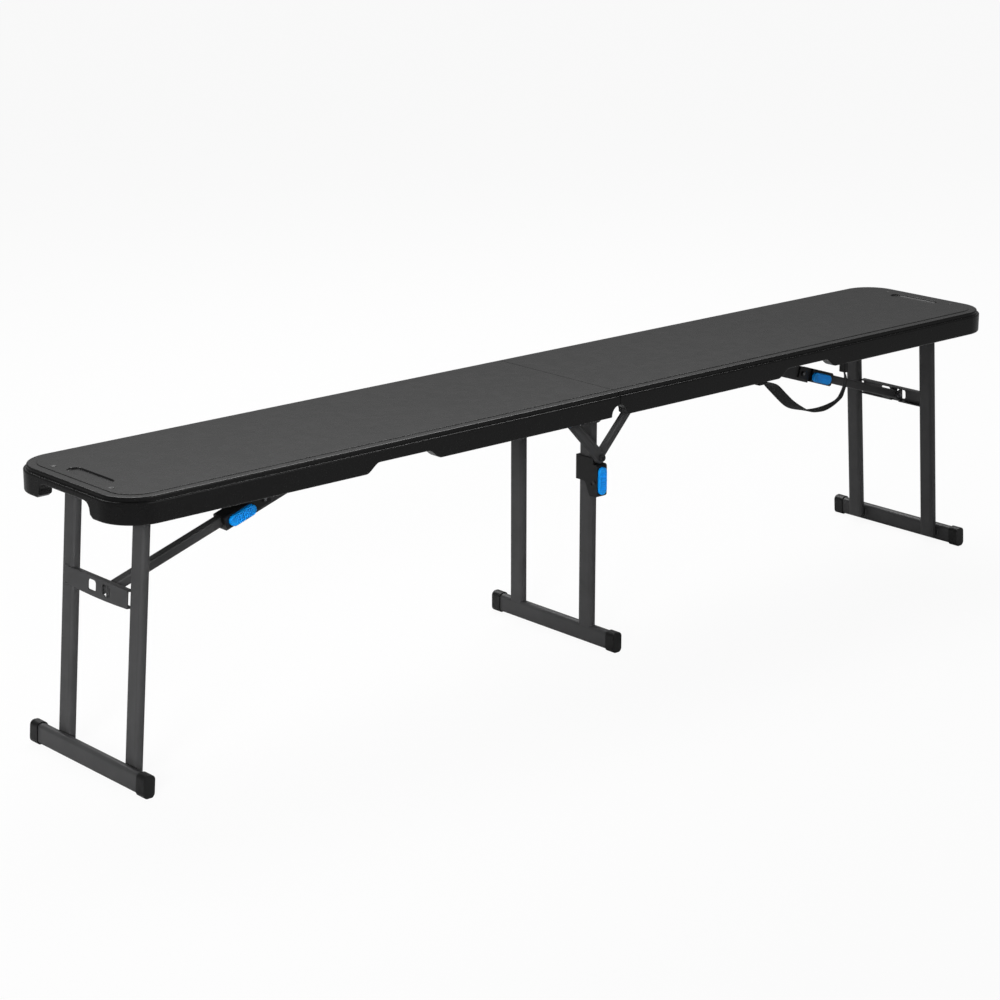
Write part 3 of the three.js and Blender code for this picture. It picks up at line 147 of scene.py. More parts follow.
# The strut lock: its nose is drawn back, and its screw sits further forward and higher
NOSE_FROM = -100
NOSE_SHORTER = 4.5
HOUSING_SCREW_FORWARD = 5
HOUSING_SCREW_UP = 3

# Struts: pressed strips with rolled edges and a rib down the middle
STRUT_EDGE = 2.4
STRUT_RIB_HALF = 2.6
STRUT_RIB_SLOPE = 1.8
STRUT_RIB_HEIGHT = 1.3
STRUT_RIB_END = 15
STRUT_STEPS = 60

# How far the rim of a lock body is drawn in below its lever and beyond it
RIM_KEEP = 1.2
BODY_SLIM = 3.2
BODY_SHORTER = 2.6

# An end leg's uprights stop short of the foot bar's underside
UPRIGHT_FOOT = 12
UPRIGHT_CUT = 8.5

# Weld beads; the askew direction is along none of them, and only serves to find one across each
BEAD_RADIUS = 1.7
BEAD_RIPPLE = 0.25
BEAD_PITCH = 2.6
BEAD_TIP_SHARE = 0.02
ASKEW = (0.3, 0.5, 0.8)

# Screw heads: radius, height, shank radius and shank length
BODY_SCREW = (4.2, 1.2, 2, 3)
STRUT_BOLT_HEAD = (5.6, 3.4, 4)
HEAD_EDGE = 0.7
HEAD_FLAT_SHARE = 0.75
HEAD_STATIONS = 96
RECESS_SHARE = 0.7
RECESS_SOFT_SHARE = 0.08
CROSS_HALF_SHARE = 0.14
CROSS_REACH_SHARE = 0.62
HEX_SHARE = 0.5

# Leg and link places, as in the frame
LEG_SPLAY = math.radians(4.7)
LEG_PIVOT_X = {"left": 844, "right": 807}
LEG_PIVOT_Z = 400
UPRIGHT_Y = 84.5
UPRIGHT_HALF = 15
FOOT_BAR_DROP = 385.9
BEAD_X = 7.6
BEAD_REACH = 6
PLATE_DROP = 139.5
PLATE_HALF = 13.2
LAP_FROM = -92
LAP_TO = -78
BRACE_WAY = (0.951932, 0.30631)
STRUT_FOOT_Z = 312
STRUT_HEAD_X = 80
STRUT_HEAD_Z = 396
STRUT_RADII = (10, 9)

# Meshes: how close in metres two points are merged, how flat in degrees two faces become one, and from how
# many degrees an edge stays sharp
MERGE_DISTANCE = 1e-6
FLAT_ANGLE = 1
SHARP_ANGLE = 40
SEAT_SHARP_ANGLE = 34
HEAD_SHARP_ANGLE = 35
PRESSED_SHARP_ANGLE = 50
ROUND_SHARP_ANGLE = 60
NORMAL_WEIGHT = 80

# Bevel widths by a word in the node's name, the first that fits, and for the rest
BEVEL = {
    "foot_cap": 2.6, "lock_body": 1.6, "lock_housing": 1.2, "cross_plate": 0.8, "channel": 0.7,
    "upright": 0.5, "foot_bar": 0.4, "hinge_plate": 0.5, "hinge_rod": 0.3, "anchor": 0.4, "bracket": 0.5,
    "pivot_tube": 0.3, "pin": 0.6, "bar": 0.5, "clip": 0.8, "screw": 0.4, "spring": 0,
}
PLAIN_BEVEL = 0.4
BEVEL_SEGMENTS = 2
CAP_SEGMENTS = 3

# Finishes: the moulding's grey, and the weave's waves in radians per metre with the range of their sum
MOULDING_TONE = 0.0022
WEAVE_RATE = 2600
WEAVE_LOWEST = -1.4
WEAVE_HIGHEST = 2

# Floor and world, which are white only to the camera, and lamps: place, target, size, power and, where it
# isn't the widest, how far the light spreads
FLOOR_HALF = 30
FLOOR_GREY = (0.5, 0.5, 0.5, 1)
WHITE = (1, 1, 1, 1)
FLOOR_GLOW = 1.06
GLOW_SHARE = 0.88
WORLD_LIGHT = 0.22
WORLD_GLOW = 0.97
LAMPS = {
    "key": ((-3.0, -1.6, 1.1), (-0.9, 0, 0.25), (1.4, 1.0), 6.7, math.radians(30)),
    "fill": ((0.5, -3.2, 1.8), (0.1, 0, 0.3), (2.5, 1.5), 18),
    "top": ((1.1, 1.7, 2.9), (0.3, 0, 0.4), (3.5, 1.2), 82),
    "sheen": ((2.3, 2.7, 2.1), (0.3, 0, 0.42), (3.5, 1.2), 4),
}

# Camera: turns in radians, place, and focus in pixels of the photograph
CAMERA_TURNS = (0.7274, 0.2858, 0.0002)
CAMERA_PLACE = (-2.7541, -2.9586, 1.4079)
CAMERA_FOCUS = 2630.4
PHOTO_WIDTH = 1000
SENSOR_WIDTH = 36
CAMERA_REACH = 100


# Small helpers for node materials
def new_material(name):
    material = bpy.data.materials.new(name)
    material.use_nodes = True
    tree = material.node_tree
    shader = tree.nodes["Principled BSDF"]
    return material, tree, shader


def add_node(tree, kind, **values):
    node = tree.nodes.new(kind)
    for key, value in values.items():
        setattr(node, key, value)
    return node


def noise(tree, coords, scale, detail=2, roughness=0.5, stretch=(1, 1, 1)):
    mapping = add_node(tree, "ShaderNodeMapping")
    mapping.inputs["Scale"].default_value = stretch
    tree.links.new(coords, mapping.inputs["Vector"])
    node = add_node(tree, "ShaderNodeTexNoise")
    node.inputs["Scale"].default_value = scale
    node.inputs["Detail"].default_value = detail
    node.inputs["Roughness"].default_value = roughness
    tree.links.new(mapping.outputs["Vector"], node.inputs["Vector"])
    return node.outputs["Fac"]


# Dark up to one value, light from another, and a blend between
def ramp(tree, value, dark, light, dark_to=0.3, light_from=0.7):
    node = add_node(tree, "ShaderNodeValToRGB")
    first, last = node.color_ramp.elements
    first.position = dark_to
    first.color = (*dark, 1)
    last.position = light_from
    last.color = (*light, 1)
    tree.links.new(value, node.inputs["Fac"])
    return node.outputs["Color"]


def spread(tree, value, low, high):
    node = add_node(tree, "ShaderNodeMapRange")
    node.inputs["To Min"].default_value = low
    node.inputs["To Max"].default_value = high
    tree.links.new(value, node.inputs["Value"])
    return node.outputs["Result"]


def bump(tree, height, strength, distance, normal=None):
    node = add_node(tree, "ShaderNodeBump")
    node.inputs["Strength"].default_value = strength
    node.inputs["Distance"].default_value = distance
    tree.links.new(height, node.inputs["Height"])
    if normal is not None:
        tree.links.new(normal, node.inputs["Normal"])
    return node.outputs["Normal"]


def object_coords(tree):
    return add_node(tree, "ShaderNodeTexCoord").outputs["Object"]


def grey(value):
    return (value, value, value * 1.02)


# Seat panel: dark plastic with a fine grain that runs along the seat
def panel_material():
    material, tree, shader = new_material("seat_panel")
    coords = object_coords(tree)
    grain = noise(tree, coords, scale=900, detail=4, roughness=0.6, stretch=(0.045, 1, 1))
    fine = noise(tree, coords, scale=2600, stretch=(0.35, 1, 1))
    cloud = noise(tree, coords, scale=9)
    mix = add_node(tree, "ShaderNodeMix", data_type="RGBA", blend_type="MULTIPLY")
    mix.inputs["Factor"].default_value = 0.25
    tree.links.new(ramp(tree, grain, dark=grey(0.041), light=grey(0.068)), mix.inputs["A"])
    tree.links.new(ramp(tree, cloud, dark=grey(0.8), light=grey(1)), mix.inputs["B"])
    tree.links.new(mix.outputs["Result"], shader.inputs["Base Color"])
    tree.links.new(spread(tree, grain, low=0.46, high=0.6), shader.inputs["Roughness"])
    first = bump(tree, grain, strength=0.35, distance=0.0003)
    tree.links.new(bump(tree, fine, strength=0.2, distance=0.0001, normal=first), shader.inputs["Normal"])
    shader.inputs["Specular IOR Level"].default_value = 0.5
    return material


# Skirt and rim: smooth black moulding with a slight unevenness
def moulding_material():
    material, tree, shader = new_material("seat_moulding")
    coords = object_coords(tree)
    soft = noise(tree, coords, scale=60)
    fine = noise(tree, coords, scale=1800)
    tone = ramp(tree, soft, dark=grey(MOULDING_TONE * 0.85), light=grey(MOULDING_TONE * 1.15))
    tree.links.new(tone, shader.inputs["Base Color"])
    tree.links.new(spread(tree, soft, low=0.22, high=0.32), shader.inputs["Roughness"])
    shader.inputs["Specular IOR Level"].default_value = 0.42
    first = bump(tree, soft, strength=0.08, distance=0.0006)
    tree.links.new(bump(tree, fine, strength=0.08, distance=0.00006, normal=first), shader.inputs["Normal"])
    return material


# Powder-coated steel: orange peel in the gloss and the surface, and faint clouds in the tone
def painted_material():
    material, tree, shader = new_material("leg_paint")
    coords = object_coords(tree)
    peel = noise(tree, coords, scale=700, detail=3, roughness=0.55)
    cloud = noise(tree, coords, scale=25, detail=3)
    tree.links.new(ramp(tree, cloud, dark=grey(0.047), light=grey(0.057)), shader.inputs["Base Color"])
    tree.links.new(spread(tree, peel, low=0.34, high=0.5), shader.inputs["Roughness"])
    tree.links.new(bump(tree, peel, strength=0.25, distance=0.00012), shader.inputs["Normal"])
    shader.inputs["Metallic"].default_value = 0.25
    return material


# Moulded plastic, and steel blackened as evenly: faint clouds in the tone and gloss, and a fine grain
def plastic_material(name, dark, light, roughness):
    material, tree, shader = new_material(name)
    coords = object_coords(tree)
    cloud = noise(tree, coords, scale=90)
    fine = noise(tree, coords, scale=2400, roughness=0.6)
    tree.links.new(ramp(tree, cloud, dark, light), shader.inputs["Base Color"])
    gloss = spread(tree, cloud, low=roughness - 0.05, high=roughness + 0.07)
    tree.links.new(gloss, shader.inputs["Roughness"])
    tree.links.new(bump(tree, fine, strength=0.15, distance=0.00006), shader.inputs["Normal"])
    return material


# Zinc-plated steel with faint brushing
def plated_material():
    material, tree, shader = new_material("zinc_plate")
    coords = object_coords(tree)
    brushed = noise(tree, coords, scale=1200, detail=3, roughness=0.6, stretch=(0.15, 1, 1))
    cloud = noise(tree, coords, scale=80)
    tone = ramp(tree, cloud, dark=(0.34, 0.35, 0.36), light=(0.5, 0.5, 0.52))
    tree.links.new(tone, shader.inputs["Base Color"])
    tree.links.new(spread(tree, brushed, low=0.28, high=0.45), shader.inputs["Roughness"])
    tree.links.new(bump(tree, brushed, strength=0.1, distance=0.00005), shader.inputs["Normal"])
    shader.inputs["Metallic"].default_value = 1.0
    return material


def math_node(tree, operation, first, second=None):
    """A sum of one kind on one or two sockets; a second that is a plain number is set as a value."""
    node = add_node(tree, "ShaderNodeMath", operation=operation)
    tree.links.new(first, node.inputs[0])
    if isinstance(second, (int, float)):
        node.inputs[1].default_value = second
    elif second is not None:
        tree.links.new(second, node.inputs[1])
    return node.outputs[0]


# Webbing: a twill, the higher of two slanting sine waves, crossed by a third that runs along the strap, with
# painted shade darkening the weave's low places
def webbing_material():
    material, tree, shader = new_material("webbing")
    uv = add_node(tree, "ShaderNodeTexCoord").outputs["UV"]
    split = add_node(tree, "ShaderNodeSeparateXYZ")
    tree.links.new(uv, split.inputs["Vector"])
    waves = []
    for along, across in ((1, 1), (1, -1), (0, 2)):
        one = math_node(tree, "MULTIPLY", split.outputs["X"], along * WEAVE_RATE)
        other = math_node(tree, "MULTIPLY", split.outputs["Y"], across * WEAVE_RATE)
        waves.append(math_node(tree, "SINE", math_node(tree, "ADD", one, other)))
    twill = math_node(tree, "MAXIMUM", waves[0], waves[1])
    height = spread(tree, math_node(tree, "ADD", twill, waves[2]), low=0, high=1)
    height.node.inputs["From Min"].default_value = WEAVE_LOWEST
    height.node.inputs["From Max"].default_value = WEAVE_HIGHEST
    # Painted shade: the colour darkens where the weave lies low and lightens where it stands high
    tone = ramp(tree, height, dark=grey(0.004), light=grey(0.018), dark_to=0.1, light_from=0.9)
    tree.links.new(tone, shader.inputs["Base Color"])
    shader.inputs["Roughness"].default_value = 0.85
    shader.inputs["Sheen Weight"].default_value = 0.05
    tree.links.new(bump(tree, height, strength=0.5, distance=0.0003), shader.inputs["Normal"])
    return material


PANEL = panel_material()
MOULDING = moulding_material()
PAINT = painted_material()
DARK_STEEL = plastic_material("dark_steel", grey(0.012), grey(0.02), 0.35)
BLACK = plastic_material("black_plastic", grey(0.003), grey(0.005), 0.42)
BLUE = plastic_material("blue_plastic", (0.001, 0.31, 0.95), (0.001, 0.35, 1.0), 0.48)
ZINC = plated_material()
WEB = webbing_material()

SLOT_MATERIALS = {
    "seat_moulding": MOULDING,
    "leg_steel": PAINT,
    "black_plastic": BLACK,
    "blue_plastic": BLUE,
    "plated_steel": ZINC,
    "webbing": WEB,
}
NODE_SLOT = {part["node"]: part["material_slot"] for part in frame["record"]["subparts"]}
NODE_BODY = {node: body for body, nodes in frame["record"]["behaviour"]["bodies"].items() for node in nodes}


def mesh_object(name, points, faces, uvs=None):
    """Puts points in millimetres and faces into a new mesh object."""
    mesh = bpy.data.meshes.new(name)
    mesh.from_pydata((np.asarray(points, float) * MM).tolist(), [], faces)
    if uvs is not None:
        corners = np.empty(len(mesh.loops), np.int32)
        mesh.loops.foreach_get("vertex_index", corners)
        mesh.uv_layers.new(name="UVMap").data.foreach_set("uv", np.asarray(uvs, float)[corners].ravel())
    mesh.update()
    made = bpy.data.objects.new(name, mesh)
    bpy.context.scene.collection.objects.link(made)
    return made


def surface(name, points, faces, second=None):
    """A mesh object with its doubles merged and its faces turned outwards; second marks the faces that carry
    the second material."""
    piece = mesh_object(name, points, faces)
    if second is not None:
        piece.data.polygons.foreach_set("material_index", np.asarray(second, np.int32))
    work = bmesh.new()
    work.from_mesh(piece.data)
    bmesh.ops.remove_doubles(work, verts=work.verts, dist=MERGE_DISTANCE)
    bmesh.ops.recalc_face_normals(work, faces=work.faces)
    work.to_mesh(piece.data)
    work.free()
    return piece


# Smooth shading that stays sharp at edges steeper than the angle, with even flat faces
def shade(piece, angle):
    work = bmesh.new()
    work.from_mesh(piece.data)
    bmesh.ops.recalc_face_normals(work, faces=work.faces)
    for face in work.faces:
        face.smooth = True
    limit = math.radians(angle)
    for edge in work.edges:
        edge.smooth = len(edge.link_faces) == 2 and edge.calc_face_angle(0) < limit
    work.to_mesh(piece.data)
    work.free()
    weighted = piece.modifiers.new("weighted", "WEIGHTED_NORMAL")
    weighted.keep_sharp = True
    weighted.weight = NORMAL_WEIGHT


# Applies what is on the modifier stack
def bake(piece):
    graph = bpy.context.evaluated_depsgraph_get()
    graph.update()
    done = bpy.data.meshes.new_from_object(piece.evaluated_get(graph), depsgraph=graph)
    piece.modifiers.clear()
    piece.data = done


# Gives a piece its materials, and ties it to its body and the nodes it replaces; its slot is not used
def settle(piece, body, nodes, slot, *materials):
    bake(piece)
    piece.data.materials.clear()
    for material in materials:
        piece.data.materials.append(material)
    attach(piece, body)
    if nodes:
        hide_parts(*nodes)


# A CAD node with its edges rounded: a copy of its mesh, with flat faces made whole first
def rounded_copy(node, width, segments, material):
    mesh = frame["nodes"][node].data.copy()
    mesh.materials.clear()
    piece = bpy.data.objects.new(f"fine_{node}", mesh)
    bpy.context.scene.collection.objects.link(piece)
    work = bmesh.new()
    work.from_mesh(mesh)
    bmesh.ops.remove_doubles(work, verts=work.verts, dist=MERGE_DISTANCE)
    flat = math.radians(FLAT_ANGLE)
    bmesh.ops.dissolve_limit(work, angle_limit=flat, verts=work.verts, edges=work.edges)
    work.to_mesh(mesh)
    work.free()
    if width:
        round_off = piece.modifiers.new("round", "BEVEL")
        round_off.width = width * MM
        round_off.segments = segments
        round_off.limit_method = "ANGLE"
        round_off.angle_limit = math.radians(SHARP_ANGLE)
        round_off.use_clamp_overlap = True
        round_off.harden_normals = False
        bake(piece)
    shade(piece, SHARP_ANGLE)
    settle(piece, NODE_BODY[node], [node], NODE_SLOT[node], material)
    return piece


# Quads between neighbouring points of a grid, numbered row by row from a first number
def grid_faces(rows, columns, first=0, round_columns=False):
    row = np.arange(rows - 1)
    column = np.arange(columns if round_columns else columns - 1)
    row, column = np.meshgrid(row, column, indexing="ij")
    down = (row + 1) * columns
    right = (column + 1) % columns
    quads = np.stack([row * columns + column, row * columns + right, down + right, down + column], -1)
    return (first + quads.reshape(-1, 4)).tolist()


def ease(share):
    """A share made to start and stop softly: its square times three less twice the share."""
    share = np.clip(share, 0, 1)
    return share * share * (3 - 2 * share)


def side_low(x):
    """Lower edge of a long side: a half circle at the seam, and an S-shaped step at each end of the notch."""
    arch = np.sqrt(np.maximum(SEAM_ARCH_RADIUS ** 2 - x ** 2, 0))
    return SKIRT_BOTTOM + arch + NOTCH_DEPTH * ease(np.minimum(x - NOTCH_FROM, NOTCH_TO - x) / NOTCH_SLOPE)


def end_low(y):
    """Lower edge of the end: an arch with nearly upright sides and quadratic corners under a flat top."""
    share = np.linspace(0, 1, 20)
    top = SKIRT_BOTTOM + END_ARCH_HEIGHT
    corner_y = END_ARCH_TOP_HALF - END_ARCH_RADIUS * (1 - share) ** 2
    corner_z = top - END_ARCH_RADIUS * share ** 2
    return np.interp(np.abs(y), [0, *corner_y, END_ARCH_HALF], [top, *corner_z, SKIRT_BOTTOM])


def side_places():
    """Stations along a long side from the seam, closer together in the arch and the notch's slopes."""
    arch = SEAM_ARCH_RADIUS * np.sin(np.linspace(SEAM_HALF_GAP / SEAM_ARCH_RADIUS, math.pi / 2, 16))
    slope_in = np.linspace(NOTCH_FROM, NOTCH_FROM + NOTCH_SLOPE, 15)
    slope_out = np.linspace(NOTCH_TO - NOTCH_SLOPE, NOTCH_TO, 15)
    return np.unique(np.concatenate([
        arch, np.linspace(PAST_ARCH, NOTCH_FROM, 30), slope_in, np.linspace(slope_in[-1], slope_out[0], 9),
        slope_out, np.linspace(NOTCH_TO, PANEL_CORNER_X, 28),
    ]).round(6))


def row_shares():
    """Shares of the half width at which the rows run, close together over the recess and the dimples."""
    recess = np.linspace(0, RECESS_ROWS_SHARE, 82)
    dimple = np.linspace(*DIMPLE_ROWS_SHARES, 20)
    arch_side = np.linspace(END_ARCH_TOP_HALF, END_ARCH_HALF, 6) / (SEAT_WIDTH / 2 - CORNER_RADIUS)
    half = np.unique(np.concatenate([recess, dimple, arch_side, WIDE_ROWS_SHARES]))
    return np.concatenate([-half[:0:-1], half])


def corner_turns():
    """Angles round a corner, from the long side to the end, close together where the recess lies."""
    over_recess = np.arccos(np.linspace(*FINE_TURN_SHARES, 44))
    return np.concatenate([[math.pi / 2], over_recess, over_recess[-1] * np.linspace(1, 0, 15)[1:]])


def quarter(steps):
    """Cosine and sine of evenly spaced angles from nought to a right angle, one row each."""
    turn = np.linspace(0, math.pi / 2, steps)
    return np.stack([np.cos(turn), np.sin(turn)], 1)


def seat_profile():
    """Rows of inset and height from the panel's edge down and round to the ceiling: a quarter round, the flat
    rim, a quarter round into the upright neck, a hollow fillet, the ledge, a quarter round onto the skirt,
    the skirt, the rounded lip at its foot, the inner wall and its fillet. The lip's heights count from the
    lower edge."""
    rim = SEAT_HEIGHT - RIM_DROP
    ledge = SEAT_HEIGHT - LEDGE_DROP
    cosine, sine = quarter(5).T
    panel = np.stack([PANEL_INSET - PANEL_ROUND * sine, SEAT_HEIGHT - RIM_DROP * (1 - cosine)], 1)
    cosine, sine = quarter(8).T
    shoulder = np.stack([NECK_DEPTH + RIM_ROUND * (1 - sine), rim - RIM_ROUND * (1 - cosine)], 1)
    cosine, sine = quarter(7).T
    outer = np.stack([LEDGE_ROUND * (1 - sine), ledge - LEDGE_ROUND * (1 - cosine)], 1)
    lip = LIP_RADIUS * (1 - quarter(6))
    inner = lip[::-1] * (-1, 1) + (SKIRT_WALL, 0)
    cosine, sine = quarter(4).T
    fillet = np.stack([NECK_DEPTH - LEDGE_FILLET * (1 - cosine), ledge + LEDGE_FILLET * (1 - sine)], 1)
    ceiling = np.stack([SKIRT_WALL + CEILING_ROUND * (1 - cosine), CEILING - CEILING_ROUND * (1 - sine)], 1)
    rows = np.concatenate([panel, shoulder, fillet, outer, lip, inner, ceiling])
    hangs = np.zeros(len(rows), bool)
    first = len(panel) + len(shoulder) + len(fillet) + len(outer)
    hangs[first:first + len(lip) + len(inner)] = True
    return rows, hangs


def seat_half(name, side):
    """The profile is carried round three sides of the half, its skirt rows hanging from the lower edge that
    changes along them; the panel is a grid whose rows close in round the corners, sunk by the recess and the
    dimples; the ceiling and the seam's end face are single flat faces."""
    xs = side_places()
    shares = row_shares()
    turns = corner_turns()
    reach = CORNER_RADIUS - PANEL_INSET
    corner_y = SEAT_WIDTH / 2 - CORNER_RADIUS
    near = np.stack([xs, np.full(len(xs), -SEAT_WIDTH / 2)], 1)
    arc_way = np.stack([np.cos(-turns), np.sin(-turns)], 1)[1:]
    arc = arc_way * CORNER_RADIUS + (PANEL_CORNER_X, -corner_y)
    end = np.stack([np.full(len(shares), SEAT_LENGTH / 2), corner_y * shares], 1)[1:-1]
    flip = np.array([1, -1])
    outline = np.concatenate([near, arc, end, arc[::-1] * flip, near[::-1] * flip])
    inward = np.concatenate([
        np.tile([0, 1], (len(near), 1)), -arc_way, np.tile([-1, 0], (len(end), 1)),
        -arc_way[::-1] * flip, np.tile([0, -1], (len(near), 1)),
    ])
    low_side = side_low(xs)
    low_arc = np.full(len(arc), SKIRT_BOTTOM)
    low = np.concatenate([low_side, low_arc, end_low(end[:, 1]), low_arc, low_side[::-1]])
    rows, hangs = seat_profile()
    ring = np.empty((len(rows), len(outline), 3))
    ring[..., :2] = outline[None] + rows[:, 0, None, None] * inward[None]
    height = rows[:, 1, None]
    ring[..., 2] = np.where(hangs[:, None], low + height, np.maximum(height, low + LIP_RADIUS))

    # The panel, coarse as far as the corners and fine over the recess
    coarse_rows = np.arange(0, len(shares), COARSE_STEP)
    coarse_rows = np.unique(np.append(coarse_rows, len(shares) - 1))
    panel_x = np.concatenate([[xs[-1]], PANEL_CORNER_X + reach * np.cos(turns[1:])])
    panel_half = np.concatenate([[SEAT_WIDTH / 2 - PANEL_INSET], corner_y + reach * np.sin(turns[1:])])
    fine = np.empty((len(panel_x), len(shares), 3))
    fine[..., 0] = panel_x[:, None]
    fine[..., 1] = panel_half[:, None] * shares
    past_middle = np.maximum(np.abs(fine[..., 1]) - RECESS_LENGTH / 2 + RECESS_WIDTH / 2, 0)
    slot = np.hypot(fine[..., 0] - RECESS_X, past_middle)
    dimple = np.hypot(fine[..., 0] - DIMPLE_X, np.abs(fine[..., 1]) - DIMPLE_Y)
    sunk = RECESS_DEPTH * ease((RECESS_WIDTH / 2 - slot) / RECESS_EDGE)
    sunk += DIMPLE_DEPTH * ease((DIMPLE_RADIUS - dimple) / RECESS_EDGE)
    fine[..., 2] = SEAT_HEIGHT - sunk
    coarse = np.empty((len(xs) - 1, len(coarse_rows), 3))
    coarse[..., 0] = xs[:-1, None]
    coarse[..., 1] = (SEAT_WIDTH / 2 - PANEL_INSET) * shares[coarse_rows]
    coarse[..., 2] = SEAT_HEIGHT

    points = np.concatenate([ring.reshape(-1, 3), fine.reshape(-1, 3), coarse.reshape(-1, 3)])
    stations = len(outline)
    first_fine = ring.shape[0] * stations
    first_coarse = first_fine + fine.shape[0] * fine.shape[1]
    skirt = grid_faces(ring.shape[0], stations)
    top = grid_faces(*fine.shape[:2], first_fine) + grid_faces(*coarse.shape[:2], first_coarse)
    last_line = first_coarse + (coarse.shape[0] - 1) * coarse.shape[1]
    for k, (start, stop) in enumerate(zip(coarse_rows, coarse_rows[1:])):
        top.append([last_line + k, last_line + k + 1, *range(first_fine + stop, first_fine + start - 1, -1)])
    ceiling = list(range((ring.shape[0] - 1) * stations, ring.shape[0] * stations))
    seam_near = [r * stations for r in range(ring.shape[0])]
    seam_far = [r * stations + stations - 1 for r in range(ring.shape[0])]
    seam = seam_near[::-1] + list(range(first_coarse + 1, first_coarse + len(coarse_rows) - 1)) + seam_far
    faces = skirt + top + [ceiling, seam]
    number = np.arange(len(faces))
    on_panel = (number >= len(skirt)) & (number < len(skirt) + len(top))
    piece = surface(f"fine_seat_{name}", points * (side, 1, 1), faces, on_panel)
    shade(piece, SEAT_SHARP_ANGLE)
    settle(piece, f"{name}_half", [f"seat_{name}"], "seat_moulding", MOULDING, PANEL)


def smooth_line(points, count):
    """A Catmull-Rom curve through the points, taken at even distances along it, and its length."""
    points = np.asarray(points, float)
    padded = np.vstack([2 * points[0] - points[1], points, 2 * points[-1] - points[-2]])
    share = np.linspace(0, 1, 40, endpoint=False)[None, :, None]
    before, first, last, after = (padded[k:k + len(points) - 1, None] for k in range(4))
    curve = first + share / 2 * (last - before)
    curve = curve + share ** 2 / 2 * (2 * before - 5 * first + 4 * last - after)
    curve = curve + share ** 3 / 2 * (3 * first - before - 3 * last + after)
    curve = np.vstack([curve.reshape(-1, points.shape[1]), points[-1]])
    run = np.concatenate([[0], np.cumsum(np.linalg.norm(np.diff(curve, axis=0), axis=1))])
    places = np.linspace(0, run[-1], count)
    return np.stack([np.interp(places, run, column) for column in curve.T], 1), run[-1]


def band_section(half_width, half_thickness, steps=8):
    """Outline of a flat band: two flats joined by half circles."""
    half_flat = half_width - half_thickness
    flat = np.linspace(-1, 1, 2 * steps + 1) * half_flat
    turn = np.linspace(-math.pi / 2, math.pi / 2, steps)[1:-1]
    end = np.stack([half_flat + half_thickness * np.cos(turn), half_thickness * np.sin(turn)], 1)
    side = np.concatenate([np.stack([flat, np.full(len(flat), -half_thickness)], 1), end])
    return np.concatenate([side, -side])


def swept(line, across, normal, section, sizes=1):
    """The section's points carried along a line, times the size there: the first coordinate goes across, the
    second along the normal."""
    section = section * np.broadcast_to(sizes, len(line))[:, None, None]
    points = line[:, None] + across[:, None] * section[..., :1] + normal[:, None] * section[..., 1:]
    rows, columns = points.shape[:2]
    caps = [list(range(columns))[::-1], list(range((rows - 1) * columns, rows * columns))]
    return points.reshape(-1, 3), grid_faces(rows, columns, round_columns=True) + caps


def carry_strap():
    """A flat band carried along the smooth line of its route. It turns about that line on the way down, lies
    flat again across the bottom and turns once more up to the outer clip, each time by an eased share."""
    route, length = smooth_line(STRAP_ROUTE, 160)
    share = np.linspace(0, 1, len(route))
    line = np.stack([route[:, 0], np.full(len(route), STRAP_Y), route[:, 1]], 1)
    way = np.gradient(line, axis=0)
    way /= np.linalg.norm(way, axis=1, keepdims=True)
    grown = ease((share - FIRST_TURN_FROM_SHARE) / FIRST_TURN_GROW_SHARE)
    kept = ease((FIRST_TURN_TO_SHARE - share) / FIRST_TURN_FADE_SHARE)
    last = ease((share - LAST_TURN_FROM_SHARE) / LAST_TURN_GROW_SHARE)
    turn = (STRAP_FIRST_TURN * grown * kept + STRAP_LAST_TURN * last)[:, None]
    level = np.array([0, 1, 0])
    across = np.cos(turn) * level + np.sin(turn) * np.cross(way, level)
    section = band_section(STRAP_WIDTH / 2, STRAP_THICKNESS / 2)
    points, faces = swept(line, across, np.cross(way, across), section)
    uvs = np.stack(np.broadcast_arrays(length * share[:, None] * MM, section[:, 0] * MM), -1).reshape(-1, 2)
    piece = mesh_object("webbing_strap", points, faces, uvs)
    shade(piece, ROUND_SHARP_ANGLE)
    settle(piece, "right_half", ["carry_strap"], "webbing", WEB)
    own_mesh(piece)


def long_grid(length, start_radius, end_radius, steps, columns=25):
    """A grid over an outline of two half circles joined by straight sides: places along and across it, and
    how far each lies inside the outline."""
    bow = quarter(13)[:, 0]
    middle = np.linspace(0, length, steps)[1:-1]
    along = np.concatenate([-start_radius * bow, middle, length + end_radius * bow[::-1]])[:, None]
    radius = start_radius + (end_radius - start_radius) * np.clip(along / length, 0, 1)
    over = np.maximum(np.maximum(-along, along - length), 0)
    wide = np.sqrt(np.maximum(radius ** 2 - over ** 2, 0))
    across = wide * np.sin(np.linspace(-math.pi / 2, math.pi / 2, columns))
    return np.broadcast_to(along, across.shape), across, radius - np.hypot(over, across)


def rolled(inside, radius):
    """Drop of a quarter-round edge at a distance inside the outline."""
    share = 1 - np.clip(inside / radius, 0, 1)
    return radius * (1 - np.sqrt(1 - share ** 2))


